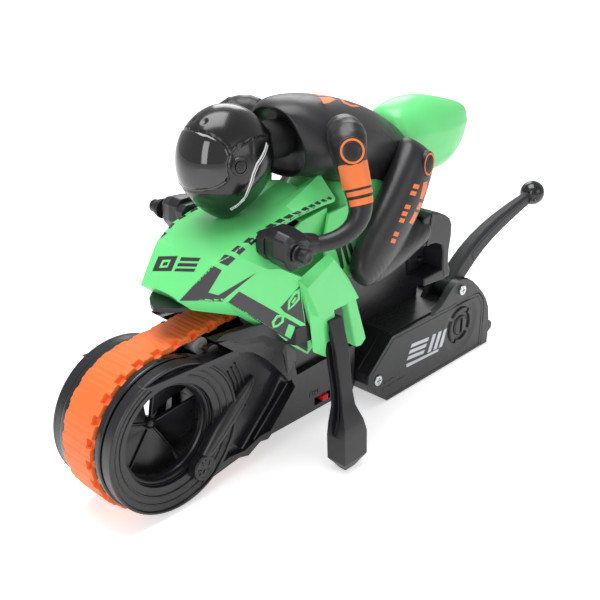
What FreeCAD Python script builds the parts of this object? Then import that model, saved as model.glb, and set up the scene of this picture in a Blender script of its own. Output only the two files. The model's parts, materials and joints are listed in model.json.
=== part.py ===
import FreeCAD, Part
import math
import os

# Radio-controlled toy motorcycle with a tracked front wheel, a crouched rider, side outriggers,
# a rear battery and steering box and a ball-ended stunt lever.
# Frame: +X forward, +Y to the rider's left, +Z up. Millimetres.
# The geometry is written about the front wheel's axis and shifted to the row frame at the end.

V = FreeCAD.Vector

# ---- driving dimensions -------------------------------------------------------------------
SHIFT_X = 130.65         # front axle ahead of the row's origin
SHIFT_Z = 37.5           # front axle above the ground

BELT_R = 37.5            # tread belt, outer radius on the front drum
BELT_T = 2.6             # belt thickness without its inner lugs
BELT_HALF = 10.0         # half the belt's width
LUG_H = 1.3              # inner lug height
LUG_PITCH = 11.8         # inner lug pitch
SPROCKET_X, SPROCKET_Z = -78.0, 28.0
BELT_R2 = 17.0           # belt's outer radius on the drive sprocket

DRUM_R = 33.2            # smooth drum under the lugs
DRUM_BORE = 27.0
HOOP_R = 35.9            # side hoops that keep the belt on
HOOP_Y0, HOOP_Y1 = 10.6, 14.4
RUN_CLEAR = 0.05         # radial running clearance of every shaft
BORE_R = 24.3            # open middle of the front wheel
PLATE_Y0, PLATE_YM, PLATE_Y1 = 15.2, 17.4, 20.0   # chassis side plate: inner face, recess face, raised face
LIP_R = 35.0

GEAR_M = 0.8             # gear module of the drive train
Z_DRIVE, Z_IDLER, Z_PINION = 32, 20, 10
TRAIN_ANGLE = 30.0       # the train runs back and down from the sprocket
GEAR_BACKLASH = 0.16

BOX_Y = 28.0             # half width of the rear box
BOX_WALL = 1.8
BOX_TOP, BOX_BOTTOM = 2.5, -36.6
COVER_T = 2.4
REAR_X, REAR_R, REAR_HALF = -206.5, 17.4, 5.5
REAR_Z = -SHIFT_Z + REAR_R
STEER_M, Z_YOKE, Z_STEER = 1.0, 30, 8
STEER_PHASE = 60.0

LEVER_X, LEVER_Z = -203.0, 8.6
LEVER_PIN_R = 2.0
SWITCH_TRAVEL = 3.0

HELMET_C = (-50.5, 0.0, 112.5)
HELMET_RX, HELMET_RY, HELMET_RZ = 25.5, 20.5, 27.0
BAR_X, BAR_Z, BAR_R = -50.0, 77.5, 2.0

# ---- helpers ------------------------------------------------------------------------------


def box(x0, x1, y0, y1, z0, z1):
    return Part.makeBox(x1 - x0, y1 - y0, z1 - z0, V(x0, y0, z0))


def cyl(p, axis, r, length):
    return Part.makeCylinder(r, length, V(*p), V(*axis))


def cyl_y(x, z, r, y0, y1):
    return Part.makeCylinder(r, y1 - y0, V(x, y0, z), V(0, 1, 0))


def ring_y(x, z, ro, ri, y0, y1):
    return cyl_y(x, z, ro, y0, y1).cut(cyl_y(x, z, ri, y0 - 1, y1 + 1))


def prism_y(pts, y0, y1):
    w = Part.makePolygon([V(x, y0, z) for x, z in pts] + [V(pts[0][0], y0, pts[0][1])])
    return Part.Face(w).extrude(V(0, y1 - y0, 0))


def prism_z(pts, z0, z1):
    w = Part.makePolygon([V(x, y, z0) for x, y in pts] + [V(pts[0][0], pts[0][1], z0)])
    return Part.Face(w).extrude(V(0, 0, z1 - z0))


def fuse(*shapes):
    out = shapes[0]
    for s in shapes[1:]:
        out = out.fuse(s)
    return out.removeSplitter()


def mirror(s):
    return s.mirror(V(0, 0, 0), V(0, 1, 0))


def fillet(s, r, pick):
    """Rounds the edges that pick(edge) accepts, or leaves the solid as it is."""
    edges = [e for e in s.Edges if pick(e)]
    if not edges:
        return s
    try:
        out = s.makeFillet(r, edges)
        if out.isValid() and out.Volume > 0:
            return out
    except Exception:
        pass
    return s


def along_y(e):
    a, b = e.Vertexes[0].Point, e.Vertexes[-1].Point
    return abs(a.x - b.x) < 1e-6 and abs(a.z - b.z) < 1e-6 and abs(a.y - b.y) > 1e-6


def loft(sections, ruled=True):
    """Closed solid with flat facets through polygon sections that have the same number of corners."""
    rings = [[V(*p) for p in sec] for sec in sections]
    n = len(rings[0])
    faces = [Part.Face(Part.makePolygon(rings[0] + [rings[0][0]])), Part.Face(Part.makePolygon(rings[-1] + [rings[-1][0]]))]
    for a, b in zip(rings[:-1], rings[1:]):
        for k in range(n):
            q = [a[k], a[(k + 1) % n], b[(k + 1) % n], b[k]]
            nrm = (q[1] - q[0]).cross(q[3] - q[0])
            if nrm.Length > 1e-9 and abs(nrm.normalize().dot(q[2] - q[0])) < 1e-7:
                tris = [q]
            elif k < n / 2:
                tris = [[q[0], q[1], q[2]], [q[0], q[2], q[3]]]
            else:
                tris = [[q[0], q[1], q[3]], [q[1], q[2], q[3]]]
            for t in tris:
                if (t[1] - t[0]).cross(t[-1] - t[0]).Length > 1e-6:
                    faces.append(Part.Face(Part.makePolygon(t + [t[0]])))
    shell = Part.makeShell(faces)
    shell.sewShape()
    sol = Part.Solid(shell.Shells[0] if shell.ShapeType != "Shell" else shell)
    if sol.Volume < 0:
        sol.reverse()
    return sol


def oval(c, u, v, a, b, n=16):
    """Corners of an oval about c, a along u and b along v."""
    c, u, v = V(*c), V(*u).normalize(), V(*v).normalize()
    pts = [c + u * (a * math.cos(t)) + v * (b * math.sin(t)) for t in [2 * math.pi * (i + 0.5) / n for i in range(n)]]
    return [(p.x, p.y, p.z) for p in pts]


def oval_loft(secs, n=16):
    """secs: (centre, u, v, a, b) ..."""
    return loft([oval(*s, n=n) for s in secs])


def limb(points, radii, n=12):
    """Rounded limb along a bent line, with domed ends."""
    P = [V(*p) for p in points]
    secs = []
    for i, p in enumerate(P):
        d0 = (P[i] - P[i - 1]).normalize() if i else None
        d1 = (P[i + 1] - P[i]).normalize() if i < len(P) - 1 else None
        d = (d0 + d1).normalize() if d0 and d1 else (d0 or d1)
        u = V(0, 1, 0) - d * d.dot(V(0, 1, 0))
        u = u.normalize() if u.Length > 0.2 else (V(1, 0, 0) - d * d.x).normalize()
        w = d.cross(u)
        if i == 0:
            for h, k in ((0.96, 0.3), (0.7, 0.72)):
                q = p - d * (radii[i] * h)
                secs.append(oval((q.x, q.y, q.z), u, w, radii[i] * k, radii[i] * k, n))
        secs.append(oval((p.x, p.y, p.z), u, w, radii[i], radii[i], n))
        if i == len(P) - 1:
            for h, k in ((0.7, 0.72), (0.96, 0.3)):
                q = p + d * (radii[i] * h)
                secs.append(oval((q.x, q.y, q.z), u, w, radii[i] * k, radii[i] * k, n))
    return loft(secs)


def ellipsoid(c, rx, ry, rz, tilt=0.0, n=20, m=12):
    """Ellipsoid with flat facets, its poles along its own vertical axis."""
    ct, st = math.cos(math.radians(tilt)), math.sin(math.radians(tilt))

    def pt(i, j):
        a, b = math.pi * (i / float(m)) - math.pi / 2, 2 * math.pi * j / n
        x, y, z = rx * math.cos(a) * math.cos(b), ry * math.cos(a) * math.sin(b), rz * math.sin(a)
        return V(c[0] + x * ct + z * st, c[1] + y, c[2] - x * st + z * ct)
    faces = []
    for i in range(m):
        for j in range(n):
            q = [pt(i, j), pt(i, j + 1), pt(i + 1, j + 1), pt(i + 1, j)]
            if i == 0:
                q = [q[0], q[2], q[3]]
            elif i == m - 1:
                q = [q[0], q[1], q[2]]
            faces.append(Part.Face(Part.makePolygon(q + [q[0]])))
    sol = Part.Solid(Part.makeShell(faces))
    if sol.Volume < 0:
        sol.reverse()
    return sol


def gear(m, z, phase, backlash, width, bore):
    """Involute spur gear about +Z from z=0, a tooth centred on phase (radians), with its bore."""
    pa = math.radians(20)
    rp = m * z / 2.0
    rb = rp * math.cos(pa)
    ra = rp + 0.88 * m
    rf = rp - 1.15 * m
    inv = lambda a: math.tan(a) - a
    hp = math.pi / (2 * z) - backlash / (2 * rp)

    def half(r):
        r = max(r, rb)
        return hp + inv(pa) - inv(math.acos(min(1.0, rb / r)))
    r0 = max(rb, rf)
    rs = [r0 + (ra - r0) * k / 4.0 for k in range(5)]
    pts = []
    for i in range(z):
        c = phase + 2 * math.pi * i / z
        flank = [(rf, half(rs[0]) + 0.0)] if rf < r0 - 1e-6 else []
        flank += [(r, half(r)) for r in rs]
        for r, h in flank:
            pts.append((r * math.cos(c - h), r * math.sin(c - h)))
        for r, h in reversed(flank):
            pts.append((r * math.cos(c + h), r * math.sin(c + h)))
    body = prism_z(pts, 0, width)
    return body.cut(Part.makeCylinder(bore, width + 2, V(0, 0, -1))) if bore else body


def gear_y(m, z, cx, cz, toward, offset_teeth, y0, y1, bore):
    """The same gear about +Y at (cx, cz). toward is the direction, in the XZ plane, of its mating gear."""
    ang = math.atan2(toward[1], toward[0]) + offset_teeth * 2 * math.pi / z
    g = gear(m, z, ang, GEAR_BACKLASH, y1 - y0, bore)
    # local x, y, z -> world x, z, -y
    g.rotate(V(0, 0, 0), V(1, 0, 0), 90)
    g.translate(V(cx, y1, cz))
    return g


def clean(s):
    """One closed solid, or a group of them."""
    sol = [q for q in s.Solids if q.Volume > 0.05]
    if len(sol) == 1:
        return sol[0]
    return Part.makeCompound(sol)


def tangent_loop(r1, r2, cx, cz, y):
    """Closed belt line about circles r1 at the front axis and r2 at (cx, cz)."""
    d = math.hypot(cx, cz)
    base = math.atan2(cz, cx)                     # direction to the rear circle
    k = math.acos((r1 - r2) / d)                  # where the tangents touch
    a1, a2 = base - k, base + k                   # upper and lower touch angles
    p = lambda c, r, a: V(c[0] + r * math.cos(a), y, c[1] + r * math.sin(a))
    up1, up2 = p((0, 0), r1, a1), p((cx, cz), r2, a1)
    lo1, lo2 = p((0, 0), r1, a2), p((cx, cz), r2, a2)
    front = p((0, 0), r1, base + math.pi)
    rear = p((cx, cz), r2, base)
    return Part.Wire([
        Part.LineSegment(up1, up2).toShape(), Part.Arc(up2, rear, lo2).toShape(),
        Part.LineSegment(lo2, lo1).toShape(), Part.Arc(lo1, front, up1).toShape()]), (a1, a2)


nodes = {}
# rear box outline (x, z)
prof = [(-140.5, BOX_TOP), (-121.3, -14.9), (-121.1, -20.5), (-124.7, -26.5), (-137.8, BOX_BOTTOM),
        (-236.0, BOX_BOTTOM), (-236.3, -24), (-234.6, -13.8), (-230.4, -5.6), (-223.4, 0.4), (-216.0, BOX_TOP)]
GR = (-25.0, 31.7)            # guide roller centre
GR_R = 4.0
OUT_X, OUT_Z = -69.0, 28.0    # screw that holds an outrigger

# ---- tread belt -----------------------------------------------------------------------------
S = (SPROCKET_X, SPROCKET_Z)
outer, (A_UP, A_LO) = tangent_loop(BELT_R, BELT_R2, S[0], S[1], -BELT_HALF)
inner, _ = tangent_loop(BELT_R - BELT_T, BELT_R2 - BELT_T, S[0], S[1], -BELT_HALF)
belt = Part.Face(outer).extrude(V(0, 2 * BELT_HALF, 0)).cut(
    Part.Face(inner).extrude(V(0, 2 * BELT_HALF + 2, 0)).translated(V(0, -1, 0)) if hasattr(Part.Shape, "translated")
    else Part.Face(inner).extrude(V(0, 2 * BELT_HALF, 0)))
path, _ = tangent_loop(BELT_R - BELT_T, BELT_R2 - BELT_T, S[0], S[1], 0)
n_lug = int(round(path.Length / LUG_PITCH))
lug_pts = path.discretize(Number=n_lug + 1)[:-1]
dense = path.discretize(Number=4001)


def inward(p):
    best = min(range(4000), key=lambda i: (dense[i] - p).Length)
    t = (dense[(best + 2) % 4000] - dense[(best - 2) % 4000]).normalize()
    n = V(-t.z, 0, t.x)
    centre = V(S[0] * 0.45, 0, S[1] * 0.45)
    return t, n if n.dot(centre - p) > 0 else n * -1


lugs = []
for p in lug_pts:
    t, n = inward(p)
    b = Part.makeBox(7.2, 2 * BELT_HALF, LUG_H + 0.6, V(-3.6, -BELT_HALF, -0.6))
    m = FreeCAD.Matrix(t.x, 0, n.x, p.x, 0, 1, 0, 0, t.z, 0, n.z, p.z, 0, 0, 0, 1)
    if m.determinant() < 0:
        m = FreeCAD.Matrix(-t.x, 0, n.x, p.x, 0, 1, 0, 0, -t.z, 0, n.z, p.z, 0, 0, 0, 1)
    q = b.copy()
    q.transformShape(m)
    lugs.append(q)
belt = belt.fuse(lugs)
nodes["tread_belt"] = belt

# ---- front wheel: drum, hoops and the five-blade web --------------------------------------------
drum = ring_y(0, 0, DRUM_R, DRUM_BORE, -HOOP_Y0, HOOP_Y0)
for k in range(24):
    a = 2 * math.pi * k / 24
    g = Part.makeCylinder(1.0, 17.0, V(DRUM_R * math.cos(a), -8.5, DRUM_R * math.sin(a)), V(0, 1, 0))
    drum = drum.cut(g)
nodes["front_drum"] = drum
hoop = ring_y(0, 0, HOOP_R, DRUM_BORE, HOOP_Y0, HOOP_Y1)
hoop = fillet(hoop, 0.9, lambda e: abs(e.BoundBox.XLength - 2 * HOOP_R) < 0.1)
nodes["rim_hoop_left"] = hoop
nodes["rim_hoop_right"] = mirror(hoop)
web = ring_y(0, 0, DRUM_BORE - 0.02, 24.6, -8.4, 8.4)
web = web.fuse(cyl_y(0, 0, 4.6, -5.0, 5.0))
for k in range(5):
    blade = Part.makeBox(21.6, 15.0, 1.6, V(3.4, -7.5, -0.8))
    blade.rotate(V(0, 0, 0), V(1, 0, 0), 48)
    blade.rotate(V(0, 0, 0), V(0, 1, 0), 72 * k + 20)
    web = web.fuse(blade)
web = web.common(cyl_y(0, 0, DRUM_BORE - 0.02, -8.4, 8.4)).cut(cyl_y(0, 0, 1.5, -9, 9))
nodes["turbine_web"] = web

# bearing rings on which the hoops turn, pressed into the side plates
bear = ring_y(0, 0, DRUM_BORE - RUN_CLEAR, BORE_R, 9.0, PLATE_Y0)
nodes["bearing_rings"] = Part.makeCompound([bear, mirror(bear)])

# ---- chassis side plates --------------------------------------------------------------------------
web_pts = [(4, 34.4), (-14, 33.0), (-34, 29.4), (-44, 26.0), (-56, 16.0), (-66, 6.0), (-74, 1.5), (-93, 2.4),
           (-118.6, 2.4), (-118.6, -24.3), (-57.5, -24.3), (-55, -26), (-50, -25), (-42, -29), (-36, -27.4),
           (-17.2, -30.2), (-6, -34.2)]
plate = fuse(prism_y(web_pts, PLATE_Y0, PLATE_YM), cyl_y(0, 0, LIP_R, PLATE_Y0, PLATE_Y1))
lip_cut = Part.makeCone(BORE_R + 0.5, LIP_R - 1.2, PLATE_Y1 - 16.6 + 0.01, V(0, 16.6, 0), V(0, 1, 0))
plate = plate.cut(lip_cut)
# raised lip bar from the ring's top back to the shoulder
bar = prism_y([(16, 31.4), (-36, 30.6), (-36, 27.2), (0, 29.6), (12, 29.0)], PLATE_YM - 0.2, 22.0)
bar = bar.cut(cyl_y(0, 0, 28.5, 0, 40))
# rear-lower raised panel and bottom flange
lower = prism_y([(-74.5, -4.9), (-57.0, -22.8), (-57.5, -24.3), (-118.6, -24.3), (-118.6, 2.4), (-93, 2.4),
                 (-71.4, 0.6)], PLATE_YM - 0.2, PLATE_Y1)
flange = prism_y([(-10, -33.4), (-17.2, -30.2), (-36, -27.4), (-42, -29), (-50, -25), (-55, -26), (-57.5, -24.3),
                  (-57.0, -22.0), (-50, -22.0), (-40, -25.2), (-30, -24.2), (-16, -26.6)], PLATE_YM - 0.2, PLATE_Y1)
# round boss and the raised oval arm that rises from it
boss = cyl_y(-14, -21.5, 6.0, PLATE_YM - 0.2, 21.2)
arm = []
for x, z, w in ((-15.0, -17.5, 2.6), (-24.0, -9.0, 4.2), (-34.0, 0.0, 3.8), (-44.0, 7.5, 1.4)):
    arm.append([(x - 0.66 * w * k, y, z + 0.75 * w * k) for k, y in
                ((-1, PLATE_YM - 0.2), (-0.9, 19.6), (-0.35, 21.3), (0.35, 21.3), (0.9, 19.6), (1, PLATE_YM - 0.2))])
arm = loft(arm, True)
plate = plate.fuse([bar, lower, flange, boss, arm])
plate = plate.cut(cyl_y(0, 0, BORE_R, 0, 40))
# shoulder under the fairing: an outer skin tied to the web
shoulder_pts = [(-23, 38.6), (-33, 30.6), (-43, 27.0), (-52, 19.6), (-60, 10.5), (-66, 3.0), (-72, 3.0), (-68, 18),
                (-66, 26), (-60, 32), (-50, 36.6)]
shoulder = prism_y(shoulder_pts, PLATE_Y0, 23.6)
shoulder = shoulder.cut(prism_y([(-28, 37.2), (-35, 32.2), (-46, 28.4), (-55, 20), (-62, 12), (-66, 8), (-66, 24),
                                 (-58, 30.8), (-48, 35.0)], PLATE_Y0 - 1, 21.6))
# bearing wall for the drive shaft, behind the shoulder
wall = prism_y([(-66, 3.0), (-66, 30), (-70, 38), (-90, 38), (-118.6, 30), (-118.6, 2.4), (-93, 2.4)],
               PLATE_Y0, PLATE_YM)
plate = plate.fuse([shoulder, wall])
# switch window through the lower panel
SW_X, SW_Z = -94.0, -19.4
plate = plate.cut(box(SW_X - 6.0, SW_X + 6.0, 10, 30, SW_Z - 2.2, SW_Z + 2.2))

# spine: hollow centre section that carries the rider, split into two halves
spine_pts = [(-122.5, 2.6), (-122.5, 46), (-136, 58), (-150, 60), (-189, 40), (-189, 2.6)]
spine_in = [(-124.5, 4.6), (-124.5, 45), (-136.6, 55.8), (-149.6, 57.7), (-187, 38.6), (-187, 4.6)]
spine_l = prism_y(spine_pts, 0, 7.0).cut(prism_y(spine_in, -1, 5.0))
bulk = box(-122.5, -118.6, 0, 7.0, -24.3, 46)
bulk = bulk.cut(box(-124, -120.4, -1, 4.4, 6, 40))
spine_l = spine_l.fuse(bulk).removeSplitter()
spine_l = spine_l.fuse(box(-122.5, -118.6, 7.0, 17.4, -24.3, 2.4)).removeSplitter()
plate = plate.fuse(spine_l)
# pad for the outrigger's foot, and an eye for the guide roller's pin
pad = box(-72.0, -62.0, PLATE_Y0, 23.6, 22.0, 34.4)
eye = cyl_y(GR[0], GR[1], 3.4, PLATE_Y0, PLATE_YM)
eye = eye.fuse(box(GR[0] - 3.0, GR[0] + 3.0, PLATE_Y0, PLATE_YM, 26.0, GR[1]))
plate = plate.fuse([pad, eye])
plate = plate.cut(prism_y(prof, -40, 40))
plate = plate.cut(cyl_y(S[0], S[1], 2.0 + RUN_CLEAR, -40, 40))
plate = plate.cut(cyl_y(OUT_X, OUT_Z, 1.4, 0, 40))
plate = plate.removeSplitter()
plate_right = mirror(plate.fuse(box(SW_X - 6.0, SW_X + 6.0, PLATE_Y0, PLATE_Y1, SW_Z - 2.2, SW_Z + 2.2)).removeSplitter())
nodes["chassis_left"] = plate
nodes["chassis_right"] = plate_right

# belly pan between the plates
pan = box(-118.4, -50, -15.0, 15.0, -24.2, -22.2)
nodes["belly_pan"] = pan

# ---- drive train -------------------------------------------------------------------------------------
ta = math.radians(180 + TRAIN_ANGLE)
u = (math.cos(ta), math.sin(ta))                       # direction of the train, back and down
RP_D, RP_I, RP_P = GEAR_M * Z_DRIVE / 2, GEAR_M * Z_IDLER / 2, GEAR_M * Z_PINION / 2
I = (S[0] + u[0] * (RP_D + RP_I), S[1] + u[1] * (RP_D + RP_I))
M = (I[0] + u[0] * (RP_I + RP_P), I[1] + u[1] * (RP_I + RP_P))
GY0, GY1 = 11.4, 13.9
sprocket = cyl_y(S[0], S[1], 12.6, -9.6, 9.6).cut(cyl_y(S[0], S[1], 2.0, -10, 10))
for k in range(12):
    a = 2 * math.pi * k / 12
    sprocket = sprocket.cut(cyl_y(S[0] + 12.9 * math.cos(a), S[1] + 12.9 * math.sin(a), 1.5, -11, 11))
nodes["drive_sprocket"] = sprocket
nodes["drive_shaft"] = cyl_y(S[0], S[1], 2.0, -19.0, 19.0)
nodes["drive_gear"] = gear_y(GEAR_M, Z_DRIVE, S[0], S[1], u, 0.0, GY0, GY1, 2.0).cut(cyl_y(S[0], S[1], 2.0, 0, 30))
nodes["idler_gear"] = gear_y(GEAR_M, Z_IDLER, I[0], I[1], (-u[0], -u[1]), 0.5, GY0, GY1, 1.25 + RUN_CLEAR)
# the idler's tooth toward the pinion sits half a pitch or not from straight ahead: even tooth count keeps the gap there too
nodes["idler_pin"] = cyl_y(I[0], I[1], 1.25, 10.6, PLATE_Y0)
nodes["motor_pinion"] = gear_y(GEAR_M, Z_PINION, M[0], M[1], (-u[0], -u[1]), 0.0, GY0, GY1, 1.0)
motor = cyl_y(M[0], M[1], 10.2, -14.0, 8.2).common(box(M[0] - 11, M[0] + 11, -20, 20, M[1] - 7.6, M[1] + 7.6))
motor = motor.fuse(cyl_y(M[0], M[1], 3.0, 8.2, 9.8))
motor = motor.cut(cyl_y(M[0], M[1], 1.0 + RUN_CLEAR, 4.0, 12))
nodes["drive_motor"] = motor
nodes["motor_shaft"] = cyl_y(M[0], M[1], 1.0, 4.4, 14.6)
# cradle that holds the motor above the pan
cradle = box(M[0] - 8.0, M[0] + 8.0, -12.0, 6.0, -22.2, M[1] - 7.6)
cradle = cradle.cut(box(M[0] - 6.0, M[0] + 6.0, -13.0, 7.0, -20.2, M[1] - 9.6))
nodes["motor_cradle"] = cradle

# light guide roller that carries the belt's upper run behind the front wheel
nodes["guide_roller"] = cyl_y(GR[0], GR[1], GR_R, -9.0, 9.0).cut(cyl_y(GR[0], GR[1], 1.5 + RUN_CLEAR, -10, 10))
nodes["roller_pin"] = cyl_y(GR[0], GR[1], 1.5, -PLATE_Y0, PLATE_Y0)

# electronics
nodes["circuit_board"] = fuse(box(-183, -131, -0.8, 0.8, 9, 36), box(-176, -166, 0.8, 2.4, 14, 24),
                              box(-158, -150, 0.8, 3.6, 26, 33), box(-147, -139, 0.8, 2.2, 12, 20),
                              cyl((-162, 0.8, 17), (0, 1, 0), 2.4, 3.6))

# ---- power switch ------------------------------------------------------------------------------------
sw_case = box(SW_X - 8.0, SW_X + 8.0, 8.0, 14.9, SW_Z - 2.6, SW_Z + 3.6)
sw_case = sw_case.cut(box(SW_X - 5.6, SW_X + 5.6, 11.0, 16, SW_Z - 1.6, SW_Z + 1.6))
nodes["switch_case"] = sw_case
knob = fuse(box(SW_X - 2.0, SW_X + 2.0, 12.0, 20.9, SW_Z - 1.4, SW_Z + 1.4), box(SW_X - 3.4, SW_X + 3.4, 11.3, 12.4, SW_Z - 1.4, SW_Z + 1.4))
knob = knob.translated(V(-1.4, 0, 0)) if hasattr(knob, "translated") else knob
nodes["power_switch"] = knob

# ---- rear box ------------------------------------------------------------------------------------------


def inset(pts, y, d):
    w = Part.makePolygon([V(x, y, z) for x, z in pts] + [V(pts[0][0], y, pts[0][1])])
    f = Part.Face(w)
    return f.makeOffset2D(-d, join=2) if d else f


tub = prism_y(prof, -BOX_Y, BOX_Y - COVER_T)
tub = tub.fuse(prism_y(prof, -BOX_Y, BOX_Y).common(box(-240, -229.2, -40, 40, -50, 20)))
cavity = inset(prof, -BOX_Y + BOX_WALL, BOX_WALL)
cavity = cavity if cavity.BoundBox.XLength > 5 else inset(prof, -BOX_Y + BOX_WALL, -BOX_WALL)
tub = tub.cut(cavity.extrude(V(0, 2 * BOX_Y - BOX_WALL - COVER_T - 2.0, 0)))
# mouth of the battery bay on the left, partition, wheel opening in the floor
bay = [(-139.8, 0.7), (-124.2, -13.5), (-123.2, -20.5), (-126.2, -25.4), (-138.4, -34.8), (-169.4, -34.8), (-169.4, 0.7)]
tub = tub.cut(prism_y(bay, 20.0, BOX_Y - COVER_T + 0.01))
part_wall = box(-171.2, -169.4, -BOX_Y + 1.0, BOX_Y - COVER_T, BOX_BOTTOM + 1.0, BOX_TOP - 1.0)
tub = tub.fuse(part_wall)
tub = tub.cut(box(REAR_X - 19.5, REAR_X + 19.5, -11.5, 11.5, -45, -33))
# ears for the lever's screw on both sides, blended into the rounded rear shoulder
ear_pts = [(-183.4, BOX_TOP - 1), (-188, 6.2), (-192.6, 11.4), (-197.5, 14.2), (-203, 15.0), (-208.6, 13.4), (-214.5, 9.2),
           (-220.6, 3.6), (-226.5, -2.6), (-229.2, -4.0), (-229.2, -1.0 - 6), (-222, -3.0), (-216, BOX_TOP - 1)]
ear = prism_y([(x, z) for x, z in ear_pts[:9]] + [(-224, -1.5), (-216, BOX_TOP - 1.0)], 23.6, BOX_Y)
tub = tub.fuse(ear)
# the cover's recess in the ear side
cover_pts = [(-139.9, 1.6), (-121.3, -14.9), (-121.1, -20.5), (-124.7, -26.5), (-137.8, BOX_BOTTOM), (-229.0, BOX_BOTTOM),
             (-227.4, 1.0), (-216, 1.4)]
tub = tub.cut(prism_y([(-139.8, 1.8)] + cover_pts[1:6] + [(-229.0, 1.0), (-227.4, 1.2), (-216, 1.6)], BOX_Y - COVER_T, BOX_Y + 5))
lug_in = prism_y([(-190, BOX_TOP - 1), (-196.5, 12.0), (-203, 14.6), (-209.5, 12.0), (-216, BOX_TOP - 1)], 8.6, 12.2)
tub = tub.fuse(lug_in)
# steering pivot boss in the roof
tub = tub.fuse(cyl((REAR_X, 0, 0.4), (0, 0, 1), 4.8, 4.8))
tub = tub.cut(cyl((REAR_X, 0, -1.0), (0, 0, 1), 2.5 + RUN_CLEAR, 5.2))
# tail skid tab and screw posts
tub = tub.fuse(prism_y([(-235.5, -26.0), (-246.0, -27.0), (-248.6, -29.4), (-248.2, -32.6), (-243.0, -35.2), (-235.5, BOX_BOTTOM)],
                       12.0, 23.0))
tub = tub.fuse(cyl_y(-128.9, -20.5, 3.6, -BOX_Y + 1.0, BOX_Y - COVER_T))
tub = tub.cut(cyl_y(-128.9, -20.5, 1.4, 8.0, 60))
tub = tub.cut(cyl_y(LEVER_X, LEVER_Z, LEVER_PIN_R, 0, 60))
nodes["rear_box"] = tub

cover = prism_y(cover_pts, BOX_Y - COVER_T + 0.02, BOX_Y)
cover = cover.cut(prism_y([(-150, -3), (-221, -3), (-222, -31), (-143, -31), (-136, -24)], BOX_Y - COVER_T - 1, BOX_Y - 1.4))
dish_x, dish_z = -206.0, -15.2
cover = cover.cut(ring_y(dish_x, dish_z, 11.6, 10.4, BOX_Y - 0.5, BOX_Y + 1)).cut(
    ring_y(dish_x, dish_z, 8.4, 7.4, BOX_Y - 0.5, BOX_Y + 1))
cover = cover.fuse(ring_y(dish_x, dish_z, 6.8, 3.4, BOX_Y - 0.3, BOX_Y + 0.5))
cover = cover.cut(cyl_y(-128.9, -20.5, 1.65, 0, 60)).cut(cyl_y(-128.9, -20.5, 3.15, BOX_Y - 0.7, 60))
nodes["battery_cover"] = cover.removeSplitter()

# batteries, contacts
cells, contacts = [], []
for cx_, cz_ in ((-147.4, -27.0), (-162.0, -27.0), (-147.4, -12.2), (-162.0, -12.2)):
    c = cyl_y(cx_, cz_, 7.1, -25.2, 23.4).fuse(cyl_y(cx_, cz_, 2.7, 23.4, 24.6))
    cells.append(c)
    contacts.append(box(cx_ - 4, cx_ + 4, -26.2, -25.8, cz_ - 5, cz_ + 5).fuse(cyl_y(cx_, cz_, 2.2, -25.8, -25.2)))
    contacts.append(box(cx_ - 4, cx_ + 4, 24.6, 25.0, cz_ - 5, cz_ + 5).fuse(box(cx_ - 4, cx_ + 4, 25.0, 25.6, cz_ - 5, cz_ - 3)))
nodes["battery_cells"] = Part.makeCompound(cells)
nodes["battery_contacts"] = Part.makeCompound([c.removeSplitter() for c in contacts])


def screw(x, z, y_seat, head_r, shank_r, length, head_h=1.6):
    """Pan-head cross-recess screw pointing inboard from y_seat."""
    h = Part.makeCylinder(head_r, head_h, V(x, y_seat, z), V(0, 1, 0))
    h = fillet(h, 0.6, lambda e: abs(e.BoundBox.YMin - (y_seat + head_h)) < 1e-4 and e.BoundBox.YLength < 1e-4)
    h = h.cut(box(x - 1.9, x + 1.9, y_seat + head_h - 0.8, y_seat + 4, z - 0.35, z + 0.35))
    h = h.cut(box(x - 0.35, x + 0.35, y_seat + head_h - 0.8, y_seat + 4, z - 1.9, z + 1.9))
    return h.fuse(Part.makeCylinder(shank_r, length, V(x, y_seat - length, z), V(0, 1, 0))).removeSplitter()


out_screw = screw(OUT_X, OUT_Z, 36.2, 3.0, 1.4, 20.0)
nodes["case_screws"] = Part.makeCompound([screw(-128.9, -20.5, BOX_Y - 0.7, 3.0, 1.4, 14.0), out_screw, mirror(out_screw)])
pin = screw(LEVER_X, LEVER_Z, BOX_Y, 3.0, LEVER_PIN_R, 19.4)
nodes["lever_pivot_screw"] = pin

# ---- rear wheel and its steering yoke --------------------------------------------------------------------
rim = cyl_y(REAR_X, REAR_Z, 12.4, -REAR_HALF, REAR_HALF)
rim = rim.cut(ring_y(REAR_X, REAR_Z, 10.4, 4.0, 1.2, 8)).cut(ring_y(REAR_X, REAR_Z, 10.4, 4.0, -8, -1.2))
rim = rim.cut(cyl_y(REAR_X, REAR_Z, 1.5 + RUN_CLEAR, -10, 10))
nodes["rear_rim"] = rim
tyre = ring_y(REAR_X, REAR_Z, REAR_R, 12.4, -REAR_HALF, REAR_HALF)
tyre = fillet(tyre, 1.6, lambda e: abs(e.BoundBox.XLength - 2 * REAR_R) < 0.1 and e.BoundBox.YLength < 1e-4)
nodes["rear_tyre"] = tyre
nodes["rear_axle"] = cyl_y(REAR_X, REAR_Z, 1.5, -9.2, 9.2)
yoke = gear(STEER_M, Z_YOKE, math.radians(STEER_PHASE), 0.16, 1.8, 0)
yoke.translate(V(REAR_X, 0, -1.9))
yoke = yoke.common(box(REAR_X - 8.0, REAR_X + 20, -9.4, 20, -3, 3))
yoke = yoke.fuse(cyl((REAR_X, 0, -0.4), (0, 0, 1), 2.5, 4.2))
for s_ in (-1, 1):
    y0, y1 = sorted((s_ * 6.6, s_ * 8.8))
    yoke = yoke.fuse(box(REAR_X - 3.6, REAR_X + 3.6, y0, y1, REAR_Z - 3.6, -1.6))
yoke = yoke.cut(cyl_y(REAR_X, REAR_Z, 1.5, -20, 20)).removeSplitter()
nodes["steering_yoke"] = yoke
cd = STEER_M * (Z_YOKE + Z_STEER) / 2
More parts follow.
